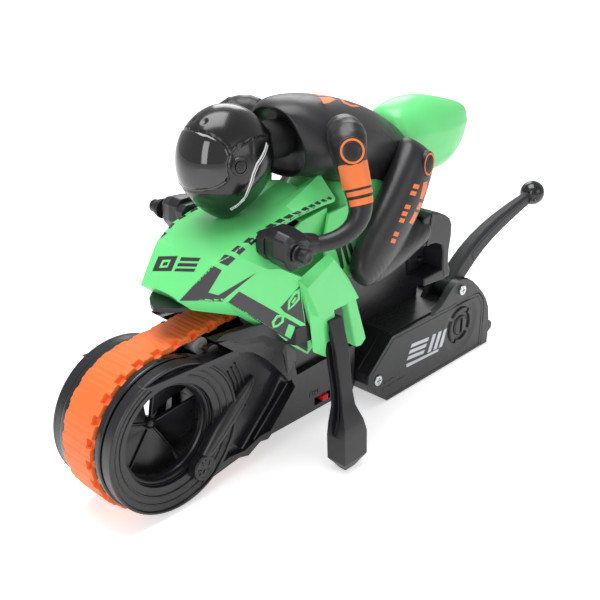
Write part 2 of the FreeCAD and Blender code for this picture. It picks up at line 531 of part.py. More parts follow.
SP = (REAR_X + cd * math.cos(math.radians(STEER_PHASE)), cd * math.sin(math.radians(STEER_PHASE)))
sp = gear(STEER_M, Z_STEER, math.radians(STEER_PHASE + 180 + 180.0 / Z_STEER), 0.16, 2.2, 0.75)
sp.translate(V(SP[0], SP[1], -2.2))
nodes["steering_pinion"] = sp
smotor = cyl((SP[0], SP[1], -24.0), (0, 0, 1), 5.4, 20.6).cut(cyl((SP[0], SP[1], -9.0), (0, 0, 1), 0.75 + RUN_CLEAR, 8))
nodes["steering_motor"] = smotor
nodes["steering_motor_shaft"] = cyl((SP[0], SP[1], -8.6), (0, 0, 1), 0.75, 8.6)
# moulded stand in the box that carries the steering motor
stand = box(SP[0] - 5.0, SP[0] + 5.0, 12.4, 24.0, -35.6, -24.0)
stand = stand.cut(box(SP[0] - 3.6, SP[0] + 3.6, 14.0, 22.4, -36.0, -25.6))
nodes["rear_box"] = nodes["rear_box"].fuse(stand).removeSplitter()

# ---- stunt lever -----------------------------------------------------------------------------------------
LY = 18.0
mid = [(LEVER_X, LEVER_Z, 5.4, 4.4), (-212.4, 15.0, 5.2, 4.2), (-221.0, 21.2, 4.9, 4.0), (-231.0, 27.0, 4.6, 3.7),
       (-251.0, 34.6, 4.1, 3.4), (-268.0, 38.8, 3.6, 3.1), (-284.0, 42.0, 3.2, 2.8)]
secs = []
for i, (x, z, a, b) in enumerate(mid):
    x0, z0 = mid[max(0, i - 1)][:2]
    x1, z1 = mid[min(len(mid) - 1, i + 1)][:2]
    t = V(x1 - x0, 0, z1 - z0).normalize()
    n = V(-t.z, 0, t.x)
    pts = []
    for sx, sy in ((-1, -0.7), (-0.7, -1), (0.7, -1), (1, -0.7), (1, 0.7), (0.7, 1), (-0.7, 1), (-1, 0.7)):
        q = V(x, LY, z) + n * (a * sx) + V(0, 1, 0) * (b * sy)
        pts.append((q.x, q.y, q.z))
    secs.append(pts)
lever = loft(secs, True)
hub = cyl_y(LEVER_X, LEVER_Z, 5.6, LY - 5.0, LY + 5.0)
lever = lever.fuse(hub).removeSplitter()
ball_c = (-291.3, LY, 44.2)
lever = lever.cut(Part.makeSphere(7.5, V(*ball_c)))
lever = lever.cut(cyl_y(LEVER_X, LEVER_Z, LEVER_PIN_R + RUN_CLEAR, 0, 40))
nodes["stunt_lever"] = clean(lever)
nodes["lever_ball"] = Part.makeSphere(7.5, V(*ball_c))

# ---- outriggers -----------------------------------------------------------------------------------------
# channel-section legs that flare into blunt feet
leg_secs = [
    # z, near-corner x, y (front-outer corner), size x, size y
    (30.0, -63.0, 36.5, 9.0, 8.0), (10.0, -65.5, 44.5, 9.0, 8.0), (-8.0, -67.6, 51.5, 9.6, 8.4), (-18.0, -68.2, 56.6, 12.4, 10.6),
    (-30.0, -68.4, 60.4, 13.0, 11.4)]
secs = []
for z, x, y, sx, sy in leg_secs:
    secs.append([(x, y, z), (x, y - sy, z), (x - sx, y - sy, z), (x - sx, y, z)])
leg = loft(secs, True)
foot = loft([[(-68.4, 60.4, -30), (-68.4, 49.0, -30), (-81.4, 49.0, -30), (-81.4, 60.4, -30)],
             [(-70.6, 59.6, -35.4), (-70.6, 51.6, -35.4), (-78.6, 51.6, -35.4), (-78.6, 59.6, -35.4)]], True)
tip = loft([[(-70.6, 59.6, -35.4), (-70.6, 51.6, -35.4), (-78.6, 51.6, -35.4), (-78.6, 59.6, -35.4)],
            [(-72.2, 58.0, -37.5), (-72.2, 53.2, -37.5), (-77.0, 53.2, -37.5), (-77.0, 58.0, -37.5)]], True)
leg = leg.fuse([foot, tip])
# the channel down the leg's front face
groove = loft([[(-61.0, 34.3, 31.0), (-61.0, 30.7, 31.0), (-67.0, 30.7, 31.0), (-67.0, 34.3, 31.0)],
               [(-63.5, 42.3, 10.0), (-63.5, 38.7, 10.0), (-69.5, 38.7, 10.0), (-69.5, 42.3, 10.0)],
               [(-65.6, 49.2, -8.0), (-65.6, 45.4, -8.0), (-71.4, 45.4, -8.0), (-71.4, 49.2, -8.0)],
               [(-66.2, 54.0, -17.0), (-66.2, 48.4, -17.0), (-71.4, 48.4, -17.0), (-71.4, 54.0, -17.0)]], True)
leg = leg.cut(groove).removeSplitter()
# the crossbar end that carries the leg, under the fairing
stub = box(-72.0, -62.5, 23.6, 34.0, 24.0, 32.5)
leg = leg.fuse(stub).removeSplitter()
leg = leg.cut(cyl_y(OUT_X, OUT_Z, 1.4, 20, 50)).cut(cyl_y(OUT_X, OUT_Z, 3.1, 36.2, 50))
nodes["outrigger_left"] = leg
nodes["outrigger_right"] = mirror(leg)

# ---- handlebar -------------------------------------------------------------------------------------------
nodes["handlebar"] = cyl_y(BAR_X, BAR_Z, BAR_R, -45.0, 45.0).fuse(box(BAR_X - 3, BAR_X + 3, -8, 8, BAR_Z - 3.4, BAR_Z + 3.0)).removeSplitter()
end = cyl_y(BAR_X, BAR_Z, 3.4, 45.0, 48.2).fuse(cyl_y(BAR_X, BAR_Z, 2.4, 48.2, 51.0)).fuse(cyl_y(BAR_X, BAR_Z, 3.0, 51.0, 56.6))
end = end.removeSplitter()
nodes["bar_ends"] = Part.makeCompound([end, mirror(end)])

# ---- fairing shell ------------------------------------------------------------------------------------------
# half sections (y, z) from the crown down to the lower edge, mirrored
stations = [
    (-9.5, [(0, 54.6), (7.0, 55.4), (11.0, 56.4), (11.6, 55.0), (11.0, 52.6)]),
    (-14.0, [(0, 58.6), (8.0, 59.4), (13.6, 61.0), (14.6, 56.4), (13.0, 49.6)]),
    (-27.0, [(0, 70.0), (12.0, 71.0), (19.3, 72.2), (21.6, 62.0), (19.4, 45.4)]),
    (-40.0, [(0, 80.6), (13.0, 80.6), (21.8, 78.9), (26.0, 64.0), (22.4, 41.4)]),
    (-58.0, [(0, 86.6), (14.0, 87.0), (22.8, 82.4), (29.6, 60.0), (25.4, 30.0)]),
    (-75.0, [(0, 89.0), (14.0, 90.5), (23.6, 84.8), (31.0, 57.0), (27.6, 15.0)]),
    (-84.0, [(0, 89.0), (14.0, 91.5), (24.0, 86.0), (30.0, 60.0), (27.0, 36.0)]),
    (-104.0, [(0, 88.0), (13.0, 92.0), (22.0, 86.0), (25.0, 66.0), (23.0, 50.0)]),
]


def half_to_full(x, half, inset_d=0.0, drop=0.0):
    pts = []
    for i, (y, z) in enumerate(half):
        if inset_d:
            last = i == len(half) - 1
            yy = max(0.0, y - (inset_d if y > 0 else 0))
            zz = z - (inset_d if not last else drop)
            pts.append((yy, zz))
        else:
            pts.append((y, z))
    full = [(x, y, z) for y, z in pts] + [(x, -y, z) for y, z in reversed(pts[1:])]
    return full


fair = loft([half_to_full(x, h) for x, h in stations], True)
inn = []
for x, h in stations:
    inn.append(half_to_full(x + (-2.0 if x > -10 else 0), h, 1.8, 12.0))
inn[-1] = [(x - 1.0, y, z) for x, y, z in inn[-1]]
inner_fair = loft(inn, True)
shell = fair.cut(inner_fair)
shell = shell.cut(box(-200, -103.0, -60, 60, 0, 84))
# slots for the outrigger feet and the handlebar
for s_ in (-1, 1):
    y0, y1 = sorted((s_ * 23.0, s_ * 50.0))
    shell = shell.cut(box(-72.3, -62.2, y0, y1, 0.0, 34.7))
shell = shell.cut(cyl_y(BAR_X, BAR_Z, BAR_R + 0.3, -60, 60)).cut(fuse(plate, plate_right))
nodes["main_fairing"] = clean(shell)
print("fairing solids", len(shell.Solids), shell.Volume)

# black plate under the nose
nose = prism_z([(-7.2, 0), (-9.5, 8.5), (-26, 9.5), (-26, -9.5), (-9.5, -8.5)], 48.6, 51.6)
nodes["nose_plate"] = nose.cut(fair)

# side wings with two prongs each
wing_pts = [(-68, 48), (-84, 62), (-94, 52), (-103, 37.6), (-100, 33), (-90.5, 33.2), (-74, 31.2)]
prong1 = [(-73.6, 32.0), (-75.4, 17.4), (-80.6, 13.6), (-87.0, 17.6), (-90.0, 34.0)]
prong2 = [(-92.6, 34.0), (-96.8, 15.2), (-102.0, 9.8), (-108.6, 14.0), (-109.4, 21.0), (-101.0, 36.0)]
wing = prism_y(wing_pts, 31.4, 35.6).fuse([prism_y(prong1, 31.4, 36.4), prism_y(prong2, 30.0, 34.0)]).removeSplitter()
nodes["side_wing_left"] = wing.cut(fair).cut(leg)
nodes["side_wing_right"] = mirror(nodes["side_wing_left"])

# tank and seat base (green) between the rider's legs
tank = loft([[(-105.4, -17, 87), (-105.4, 17, 87), (-105.4, 20, 66), (-105.4, -20, 66)],
             [(-130, -19, 92), (-130, 19, 92), (-130, 20, 64), (-130, -20, 64)],
             [(-150, -14, 86), (-150, 14, 86), (-150, 16, 62), (-150, -16, 62)]], True)
tank = tank.cut(box(-148, -106.4, -14, 14, 60, 80))
nodes["tank_cover"] = tank
# mounting bridge from the chassis spine to the fairing and tank
bridge = box(-147.5, -107.0, -5.0, 5.0, 60.2, 64.0).fuse(box(-120, -107, -5, 5, 46.2, 60.2)).removeSplitter()
nodes["body_bridge"] = bridge.cut(prism_y(spine_pts, -8, 8))

# tail cowl
tail = loft([[(-160, -15.5, 96), (-160, 15.5, 96), (-160, 12.5, 110), (-160, 0, 114), (-160, -12.5, 110)],
             [(-182, -17.0, 84), (-182, 17.0, 84), (-182, 13.5, 113), (-182, 0, 119), (-182, -13.5, 113)],
             [(-206, -14.0, 73), (-206, 14.0, 73), (-206, 12.0, 108.5), (-206, 0, 114), (-206, -12.0, 108.5)],
             [(-228, -9.0, 84), (-228, 9.0, 84), (-228, 8.0, 101), (-228, 0, 107), (-228, -8.0, 101)],
             [(-233, -6.0, 92), (-233, 6.0, 92), (-233, 5.0, 100), (-233, 0, 103), (-233, -5.0, 100)]], True)

# ---- rider ---------------------------------------------------------------------------------------------------
helmet = ellipsoid(HELMET_C, HELMET_RX, HELMET_RY, HELMET_RZ, 14.0)
torso = oval_loft([
    ((-70.0, 0, 106.0), (0, 1, 0), (0.25, 0, 1), 12.0, 7.5),
    ((-80.0, 0, 109.0), (0, 1, 0), (0.2, 0, 1), 22.0, 13.0),
    ((-97.0, 0, 112.0), (0, 1, 0), (0.1, 0, 1), 29.0, 18.0),
    ((-115.0, 0, 111.0), (0, 1, 0), (0, 0, 1), 28.0, 18.5),
    ((-134.0, 0, 104.0), (0, 1, 0), (-0.3, 0, 1), 24.0, 18.0),
    ((-152.0, 0, 93.0), (0, 1, 0), (-0.5, 0, 1), 22.0, 17.0),
    ((-168.0, 0, 80.0), (0, 1, 0), (-0.6, 0, 1), 22.0, 15.0),
    ((-180.0, 0, 70.0), (0, 1, 0), (-0.7, 0, 1), 18.0, 10.0)])
arm_l = limb([(-97, 33.5, 110), (-96.5, 41.0, 94), (-94.0, 47.5, 80.5), (-84, 46.0, 75.0), (-72, 42.0, 74.6), (-61.0, 38.5, 76.0)],
             [11.5, 10.0, 8.4, 7.4, 6.6, 5.4])
glove_l = box(-60.0, -41.5, 29.5, 43.5, 70.0, 83.6)
glove_l = fillet(glove_l, 3.0, lambda e: e.Length > 5)
leg_l = limb([(-171, 23, 82), (-116, 34, 47)], [14.0, 10.5]).fuse(limb([(-116, 34, 47), (-170, 30, 48)], [10.5, 8.0]))
boot_l = oval_loft([((-166, 29.5, 47), (0, 1, 0), (0.2, 0, 1), 8.4, 9.5), ((-180, 28.5, 45), (0, 1, 0), (0.1, 0, 1), 8.8, 13.0),
                    ((-190, 28.0, 43), (0, 1, 0), (0, 0, 1), 7.6, 14.5), ((-194, 28.0, 42), (0, 1, 0), (0, 0, 1), 4.0, 11.0)])
neck = cyl((-62, 0, 100), (-1, 0, 0.25), 8.5, 16)

fair_full = fair
spine_full = prism_y(spine_pts, -7, 7)
tank_full = nodes["tank_cover"]

visor_zone = prism_y([(-5, 128), (-40, 121), (-44, 112), (-38, 98), (-10, 92), (0, 110)], -40, 40)
core = ellipsoid(HELMET_C, HELMET_RX - 1.4, HELMET_RY - 1.4, HELMET_RZ - 1.4, 14.0)
visor_face = ellipsoid(HELMET_C, HELMET_RX + 0.7, HELMET_RY + 0.5, HELMET_RZ + 0.7, 14.0)
recess = visor_zone.cut(core)
# the visor sits in the recess with a hair of clearance all round
visor_seat = prism_y([(-5, 127.9), (-39.9, 120.9), (-43.85, 112), (-37.9, 98.15), (-10, 92.15), (0.1, 110)], -40, 40)
visor = visor_face.common(visor_seat).cut(ellipsoid(HELMET_C, HELMET_RX - 1.3, HELMET_RY - 1.3, HELMET_RZ - 1.3, 14.0))
helmet = helmet.cut(recess)
visor_cut = helmet.fuse(visor)
disc_l = cyl_y(-45.5, 114.5, 5.0, 10.0, 22.0).cut(helmet).cut(visor)
disc_l = disc_l.common(box(-60, -30, 15.0, 30, 100, 130))
pivots = disc_l

torso = torso.cut(ellipsoid(HELMET_C, HELMET_RX + 0.3, HELMET_RY + 0.3, HELMET_RZ + 0.3, 14.0)).cut(fair_full).cut(tank_full)
neck = neck.cut(ellipsoid(HELMET_C, HELMET_RX, HELMET_RY, HELMET_RZ, 14.0)).cut(fair_full)
torso = torso.fuse(neck)
torso = max(torso.Solids, key=lambda q: q.Volume)
half_t = torso.common(box(-300, 100, 0, 60, -50, 200))
torso = clean(half_t.fuse(mirror(half_t)).removeSplitter())
helmet = helmet.cut(fair_full)
tail = tail.cut(torso)
hands_cut = fair_full
glove_l = glove_l.cut(cyl_y(BAR_X, BAR_Z, BAR_R, 20, 60)).cut(fair_full)
arm_l = arm_l.cut(torso).cut(fair_full).cut(glove_l).cut(cyl_y(BAR_X, BAR_Z, BAR_R, 20, 60))
arm_l = arm_l.cut(box(-60.0, -41.5, 29.5, 43.5, 70.0, 83.6))
leg_l = leg_l.cut(torso).cut(spine_full).cut(tank_full).cut(boot_l).cut(tail).cut(fair_full)
leg_l = leg_l.cut(nodes["side_wing_left"])
boot_l = boot_l.cut(spine_full)
nodes["rider_torso"] = torso
nodes["helmet_shell"] = clean(helmet)
nodes["helmet_visor"] = clean(visor.cut(fair_full))
nodes["rider_arm_left"] = clean(arm_l)
nodes["rider_arm_right"] = mirror(clean(arm_l))
nodes["rider_gloves"] = Part.makeCompound([clean(glove_l), mirror(clean(glove_l))])
nodes["rider_leg_left"] = clean(leg_l)
nodes["rider_leg_right"] = mirror(clean(leg_l))
nodes["rider_boots"] = Part.makeCompound([clean(boot_l), mirror(clean(boot_l))])
nodes["tail_cowl"] = clean(tail)
nodes["visor_pivots"] = Part.makeCompound([clean(disc_l), mirror(clean(disc_l))])
nodes["handlebar"] = nodes["handlebar"]

# ---- write --------------------------------------------------------------------------------------------------
os.makedirs("parts", exist_ok=True)
for f in os.listdir("parts"):
    if f.endswith(".step"):
        os.remove(os.path.join("parts", f))
for name, shape in nodes.items():
    s = clean(shape).copy()
    s.translate(V(SHIFT_X, 0, SHIFT_Z))
    ok = s.isValid()
    bb = s.BoundBox
    print("%-24s %s n=%d vol=%9.1f  x %7.1f %7.1f  y %6.1f %6.1f  z %6.1f %6.1f" % (
        name, "ok " if ok else "BAD", len(s.Solids), s.Volume, bb.XMin, bb.XMax, bb.YMin, bb.YMax, bb.ZMin, bb.ZMax))
    s.exportStep(os.path.join("parts", name + ".step"))
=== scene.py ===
import bpy, bmesh, json, math, random
import numpy as np
from mathutils import Vector, Matrix, noise
from mathutils.bvhtree import BVHTree
from mathutils.geometry import delaunay_2d_cdt

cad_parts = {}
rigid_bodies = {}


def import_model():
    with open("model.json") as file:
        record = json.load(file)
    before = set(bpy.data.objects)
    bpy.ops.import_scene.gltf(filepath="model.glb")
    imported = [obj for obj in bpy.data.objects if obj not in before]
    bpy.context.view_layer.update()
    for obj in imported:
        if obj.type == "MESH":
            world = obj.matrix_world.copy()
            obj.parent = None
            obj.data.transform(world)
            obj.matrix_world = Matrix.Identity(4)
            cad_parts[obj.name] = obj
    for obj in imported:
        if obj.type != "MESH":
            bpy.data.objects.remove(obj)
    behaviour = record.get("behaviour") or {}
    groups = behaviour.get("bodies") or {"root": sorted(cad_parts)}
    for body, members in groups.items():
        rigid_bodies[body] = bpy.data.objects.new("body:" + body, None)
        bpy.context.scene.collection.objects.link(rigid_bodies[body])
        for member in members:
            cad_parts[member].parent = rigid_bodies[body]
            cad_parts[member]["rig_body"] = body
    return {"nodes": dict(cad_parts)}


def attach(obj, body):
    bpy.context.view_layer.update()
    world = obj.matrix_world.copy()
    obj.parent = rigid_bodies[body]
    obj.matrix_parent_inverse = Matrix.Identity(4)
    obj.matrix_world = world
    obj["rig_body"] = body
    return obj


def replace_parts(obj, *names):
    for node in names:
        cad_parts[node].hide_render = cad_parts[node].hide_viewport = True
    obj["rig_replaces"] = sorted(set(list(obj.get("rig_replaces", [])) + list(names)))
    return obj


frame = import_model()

random.seed(7)
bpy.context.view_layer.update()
NODES = frame["nodes"]
DX, DZ = 130.65, 37.5          # front axle in the row frame, mm
COL = bpy.context.scene.collection


def W(p):
    """mm about the front wheel's axle -> metres in the row frame"""
    return Vector(((p[0] + DX) / 1000, p[1] / 1000, (p[2] + DZ) / 1000))


# ------------------------------------------------------------------ mesh helpers
def raw(name, verts, faces):
    me = bpy.data.meshes.new(name)
    me.from_pydata([tuple(W(v)) for v in verts], [], faces)
    ob = bpy.data.objects.new(name, me)
    COL.objects.link(ob)
    return ob


def edit(ob, fn):
    bm = bmesh.new()
    bm.from_mesh(ob.data)
    fn(bm)
    bm.to_mesh(ob.data)
    bm.free()
    ob.data.update()


def normals_out(ob):
    edit(ob, lambda bm: bmesh.ops.recalc_face_normals(bm, faces=bm.faces))


def bake(ob):
    """applies every modifier"""
    dg = bpy.context.evaluated_depsgraph_get()
    me = bpy.data.meshes.new_from_object(ob.evaluated_get(dg), depsgraph=dg)
    old = ob.data
    ob.modifiers.clear()
    ob.data = me
    if old.users == 0:
        bpy.data.meshes.remove(old)
    return ob


def mod(ob, kind, **kw):
    m = ob.modifiers.new(kind.lower(), kind)
    for k, v in kw.items():
        setattr(m, k, v)
    return m


def smooth_by(ob, deg=35):
    """smooth shading with hard creases above deg"""
    me = ob.data
    bm = bmesh.new()
    bm.from_mesh(me)
    lim = math.radians(deg)
    for f in bm.faces:
        f.smooth = True
    for e in bm.edges:
        e.smooth = not (len(e.link_faces) == 2 and e.calc_face_angle(0) > lim)
    bm.to_mesh(me)
    bm.free()
    me.update()
    return ob


def finish_hard(ob, width=0.3, seg=2, deg=28, weighted=True, merge=0.004):
    """bevels the hard edges (mm) and evens the shading"""
    edit(ob, lambda bm: bmesh.ops.remove_doubles(bm, verts=bm.verts, dist=merge / 1000))
    if width > 0:
        mod(ob, "BEVEL", width=width / 1000, segments=seg, limit_method="ANGLE", angle_limit=math.radians(deg),
            use_clamp_overlap=True, miter_outer="MITER_SHARP", profile=0.6)
        bake(ob)
    smooth_by(ob, 40)
    if weighted:
        mod(ob, "WEIGHTED_NORMAL", keep_sharp=True, weight=60)
        bake(ob)
    return ob


def put(ob, body, mat, rep=()):
    ob.data.materials.clear()
    ob.data.materials.append(mat)
    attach(ob, body)
    if rep:
        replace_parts(ob, *rep)
    return ob


def loftm(name, secs, caps=True, closed=False):
    """skin through rings of the same count"""
    n = len(secs[0])
    verts = [p for s in secs for p in s]
    faces = []
    m = len(secs)
    for i in range(m if closed else m - 1):
        for k in range(n):
            a, b = i * n + k, i * n + (k + 1) % n
            c, d = ((i + 1) % m) * n + (k + 1) % n, ((i + 1) % m) * n + k
            faces.append((a, b, c, d))
    if caps and not closed:
        faces.append(tuple(range(n - 1, -1, -1)))
        faces.append(tuple((m - 1) * n + k for k in range(n)))
    ob = raw(name, verts, faces)
    normals_out(ob)
    return ob


def lathe(name, prof, cx=0.0, cz=0.0, seg=128, closed=True):
    """turns (r, y) about the Y axis through (cx, cz)"""
    n = len(prof)
    verts, faces = [], []
    for i in range(seg):
        a = 2 * math.pi * i / seg
        for r, y in prof:
            verts.append((cx + r * math.cos(a), y, cz + r * math.sin(a)))
    for i in range(seg):
        j = (i + 1) % seg
        for k in range(n if closed else n - 1):
            l = (k + 1) % n
            faces.append((i * n + k, j * n + k, j * n + l, i * n + l))
    ob = raw(name, verts, faces)
    edit(ob, lambda bm: bmesh.ops.remove_doubles(bm, verts=bm.verts, dist=1e-6))
    normals_out(ob)
    return ob


def prism(name, pts, y0, y1, flat="xz"):
    """closed outline pushed along the third axis"""
    f3 = (lambda p, t: (p[0], t, p[1])) if flat == "xz" else ((lambda p, t: (p[0], p[1], t)) if flat == "xy" else (lambda p, t: (t, p[0], p[1])))
    n = len(pts)
    ob = raw(name, [f3(p, y0) for p in pts] + [f3(p, y1) for p in pts],
             [tuple(range(n)), tuple(range(2 * n - 1, n - 1, -1))] + [(k, (k + 1) % n, n + (k + 1) % n, n + k) for k in range(n)])
    normals_out(ob)
    return ob


def join(obs, name):
    """one object from several"""
    bm = bmesh.new()
    for o in obs:
        me = o.data.copy()
        me.transform(o.matrix_basis)
        bm.from_mesh(me)
        bpy.data.meshes.remove(me)
    me = bpy.data.meshes.new(name)
    bm.to_mesh(me)
    bm.free()
    for o in obs:
        d = o.data
        bpy.data.objects.remove(o)
        if d.users == 0:
            bpy.data.meshes.remove(d)
    ob = bpy.data.objects.new(name, me)
    COL.objects.link(ob)
    return ob


def boolean(ob, other, op="DIFFERENCE", keep=False):
    mod(ob, "BOOLEAN", operation=op, object=other, solver="EXACT")
    bake(ob)
    if not keep:
        d = other.data
        bpy.data.objects.remove(other)
        if d.users == 0:
            bpy.data.meshes.remove(d)
    return ob


def mirrored(ob, name):
    """a copy on the other side, across Y"""
    me = ob.data.copy()
    me.transform(Matrix.Scale(-1, 4, (0, 1, 0)))
    me.flip_normals()
    o = bpy.data.objects.new(name, me)
    COL.objects.link(o)
    return o


def cyl(name, p0, p1, r0, r1=None, seg=48):
    """capped cylinder or cone between two points, mm"""
    r1 = r0 if r1 is None else r1
    a, b = Vector(p0), Vector(p1)
    d = (b - a).normalized()
    u = d.orthogonal().normalized()
    v = d.cross(u)
    rings = []
    for c, r in ((a, r0), (b, r1)):
        rings.append([tuple(c + u * (r * math.cos(2 * math.pi * k / seg)) + v * (r * math.sin(2 * math.pi * k / seg))) for k in range(seg)])
    return loftm(name, rings)


def boxm(name, x0, x1, y0, y1, z0, z1):
    return prism(name, [(x0, z0), (x1, z0), (x1, z1), (x0, z1)], y0, y1)


def sub(ob, levels=2):
    mod(ob, "SUBSURF", levels=levels, render_levels=levels)
    return bake(ob)


def shade(ob, deg=60):
    return smooth_by(ob, deg)


def refine(node, mat, width=0.25, seg=2, deg=25, name=None):
    """a finished copy of a CAD node whose shape is right: same faces, with softened edges"""
    src = NODES[node]
    me = src.data.copy()
    me.materials.clear()
    ob = bpy.data.objects.new(name or node + "_moulded", me)
    COL.objects.link(ob)

    def tidy(bm):
        bmesh.ops.remove_doubles(bm, verts=bm.verts, dist=2e-6)
        bmesh.ops.dissolve_limit(bm, angle_limit=math.radians(0.6), verts=bm.verts, edges=bm.edges)
        bmesh.ops.recalc_face_normals(bm, faces=bm.faces)
    edit(ob, tidy)
    if me.attributes.get("custom_normal"):
        me.attributes.remove(me.attributes["custom_normal"])
    finish_hard(ob, width, seg, deg, merge=0.001)
    put(ob, src["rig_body"], mat, (node,))
    return ob


# ------------------------------------------------------------------ materials
def tree(name):
    m = bpy.data.materials.new(name)
    m.use_nodes = True
    nt = m.node_tree
    nt.nodes.clear()
    out = nt.nodes.new("ShaderNodeOutputMaterial")
    b = nt.nodes.new("ShaderNodeBsdfPrincipled")
    nt.links.new(b.outputs[0], out.inputs[0])
    return m, nt, b


def srgb(r, g, b):
    f = lambda c: (c / 255 / 12.92) if c / 255 <= 0.04045 else ((c / 255 + 0.055) / 1.055) ** 2.4
    return (f(r), f(g), f(b), 1)


def N(nt, kind, **kw):
    n = nt.nodes.new(kind)
    for k, v in kw.items():
        if hasattr(n, k):
            setattr(n, k, v)
        else:
            n.inputs[k].default_value = v
    return n


def moulded(name, col, rough=0.4, grain=0.5, grain_scale=2200, var=0.06, rvar=0.08, coat=0.0, coat_rough=0.1, spec=0.5,
            wave=0.0, subsurface=0.0, metal=0.0, fine=9000, scuff=0.0, sheen=0.0):
    """moulded plastic, rubber, paint or plated metal: colour and gloss vary slowly over the surface, with a fine
    texture in the relief and faint scuffs"""
    m, nt, b = tree(name)
    L = nt.links.new
    tc = N(nt, "ShaderNodeTexCoord")
    big = N(nt, "ShaderNodeTexNoise"); big.inputs["Scale"].default_value = 55; big.inputs["Detail"].default_value = 5
    L(tc.outputs["Object"], big.inputs["Vector"])
    ramp = N(nt, "ShaderNodeValToRGB")
    c = Vector(col[:3])
    ramp.color_ramp.elements[0].position, ramp.color_ramp.elements[1].position = 0.3, 0.72
    ramp.color_ramp.elements[0].color = (*(c * (1 - var)), 1)
    ramp.color_ramp.elements[1].color = (*[min(1, x) for x in (c * (1 + var))], 1)
    L(big.outputs["Fac"], ramp.inputs["Fac"])
    colour = ramp.outputs["Color"]
    if scuff > 0:
        sc = N(nt, "ShaderNodeTexNoise"); sc.inputs["Scale"].default_value = 900; sc.inputs["Detail"].default_value = 8; sc.inputs["Roughness"].default_value = 0.75
        L(tc.outputs["Object"], sc.inputs["Vector"])
        sr = N(nt, "ShaderNodeValToRGB")
        sr.color_ramp.elements[0].position, sr.color_ramp.elements[1].position = 0.62, 0.72
        sr.color_ramp.elements[0].color, sr.color_ramp.elements[1].color = (0, 0, 0, 1), (scuff, scuff, scuff, 1)
        L(sc.outputs["Fac"], sr.inputs["Fac"])
        mx = N(nt, "ShaderNodeMixRGB"); mx.blend_type = "ADD"; mx.inputs["Fac"].default_value = 1
        L(colour, mx.inputs["Color1"]); L(sr.outputs["Color"], mx.inputs["Color2"])
        colour = mx.outputs["Color"]
    L(colour, b.inputs["Base Color"])
    rn = N(nt, "ShaderNodeTexNoise"); rn.inputs["Scale"].default_value = 380; rn.inputs["Detail"].default_value = 4
    L(tc.outputs["Object"], rn.inputs["Vector"])
    mr = N(nt, "ShaderNodeMapRange")
    mr.inputs["To Min"].default_value = max(0.02, rough - rvar)
    mr.inputs["To Max"].default_value = min(1, rough + rvar)
    L(rn.outputs["Fac"], mr.inputs["Value"])
    L(mr.outputs["Result"], b.inputs["Roughness"])
    g1 = N(nt, "ShaderNodeTexNoise"); g1.inputs["Scale"].default_value = grain_scale; g1.inputs["Detail"].default_value = 3
    g2 = N(nt, "ShaderNodeTexNoise"); g2.inputs["Scale"].default_value = fine; g2.inputs["Detail"].default_value = 1
    for g in (g1, g2):
        L(tc.outputs["Object"], g.inputs["Vector"])
    add = N(nt, "ShaderNodeMath", operation="ADD")
    L(g1.outputs["Fac"], add.inputs[0]); L(g2.outputs["Fac"], add.inputs[1])
    height = add.outputs[0]
    if wave > 0:
        w = N(nt, "ShaderNodeTexNoise"); w.inputs["Scale"].default_value = 120; w.inputs["Detail"].default_value = 1
        L(tc.outputs["Object"], w.inputs["Vector"])
        wm = N(nt, "ShaderNodeMath", operation="MULTIPLY_ADD"); wm.inputs[1].default_value = wave
        L(w.outputs["Fac"], wm.inputs[0]); L(height, wm.inputs[2])
        height = wm.outputs[0]
    bp = N(nt, "ShaderNodeBump"); bp.inputs["Strength"].default_value = grain; bp.inputs["Distance"].default_value = 0.00004
    L(height, bp.inputs["Height"])
    L(bp.outputs["Normal"], b.inputs["Normal"])
    b.inputs["Metallic"].default_value = metal
    b.inputs["Specular IOR Level"].default_value = spec
    if coat:
        b.inputs["Coat Weight"].default_value = coat
        b.inputs["Coat Roughness"].default_value = coat_rough
    if subsurface:
        b.inputs["Subsurface Weight"].default_value = subsurface
        b.inputs["Subsurface Radius"].default_value = (0.002, 0.002, 0.001)
        b.inputs["Subsurface Scale"].default_value = 0.6
    if sheen:
        b.inputs["Sheen Weight"].default_value = sheen
        b.inputs["Sheen Roughness"].default_value = 0.4
    return m


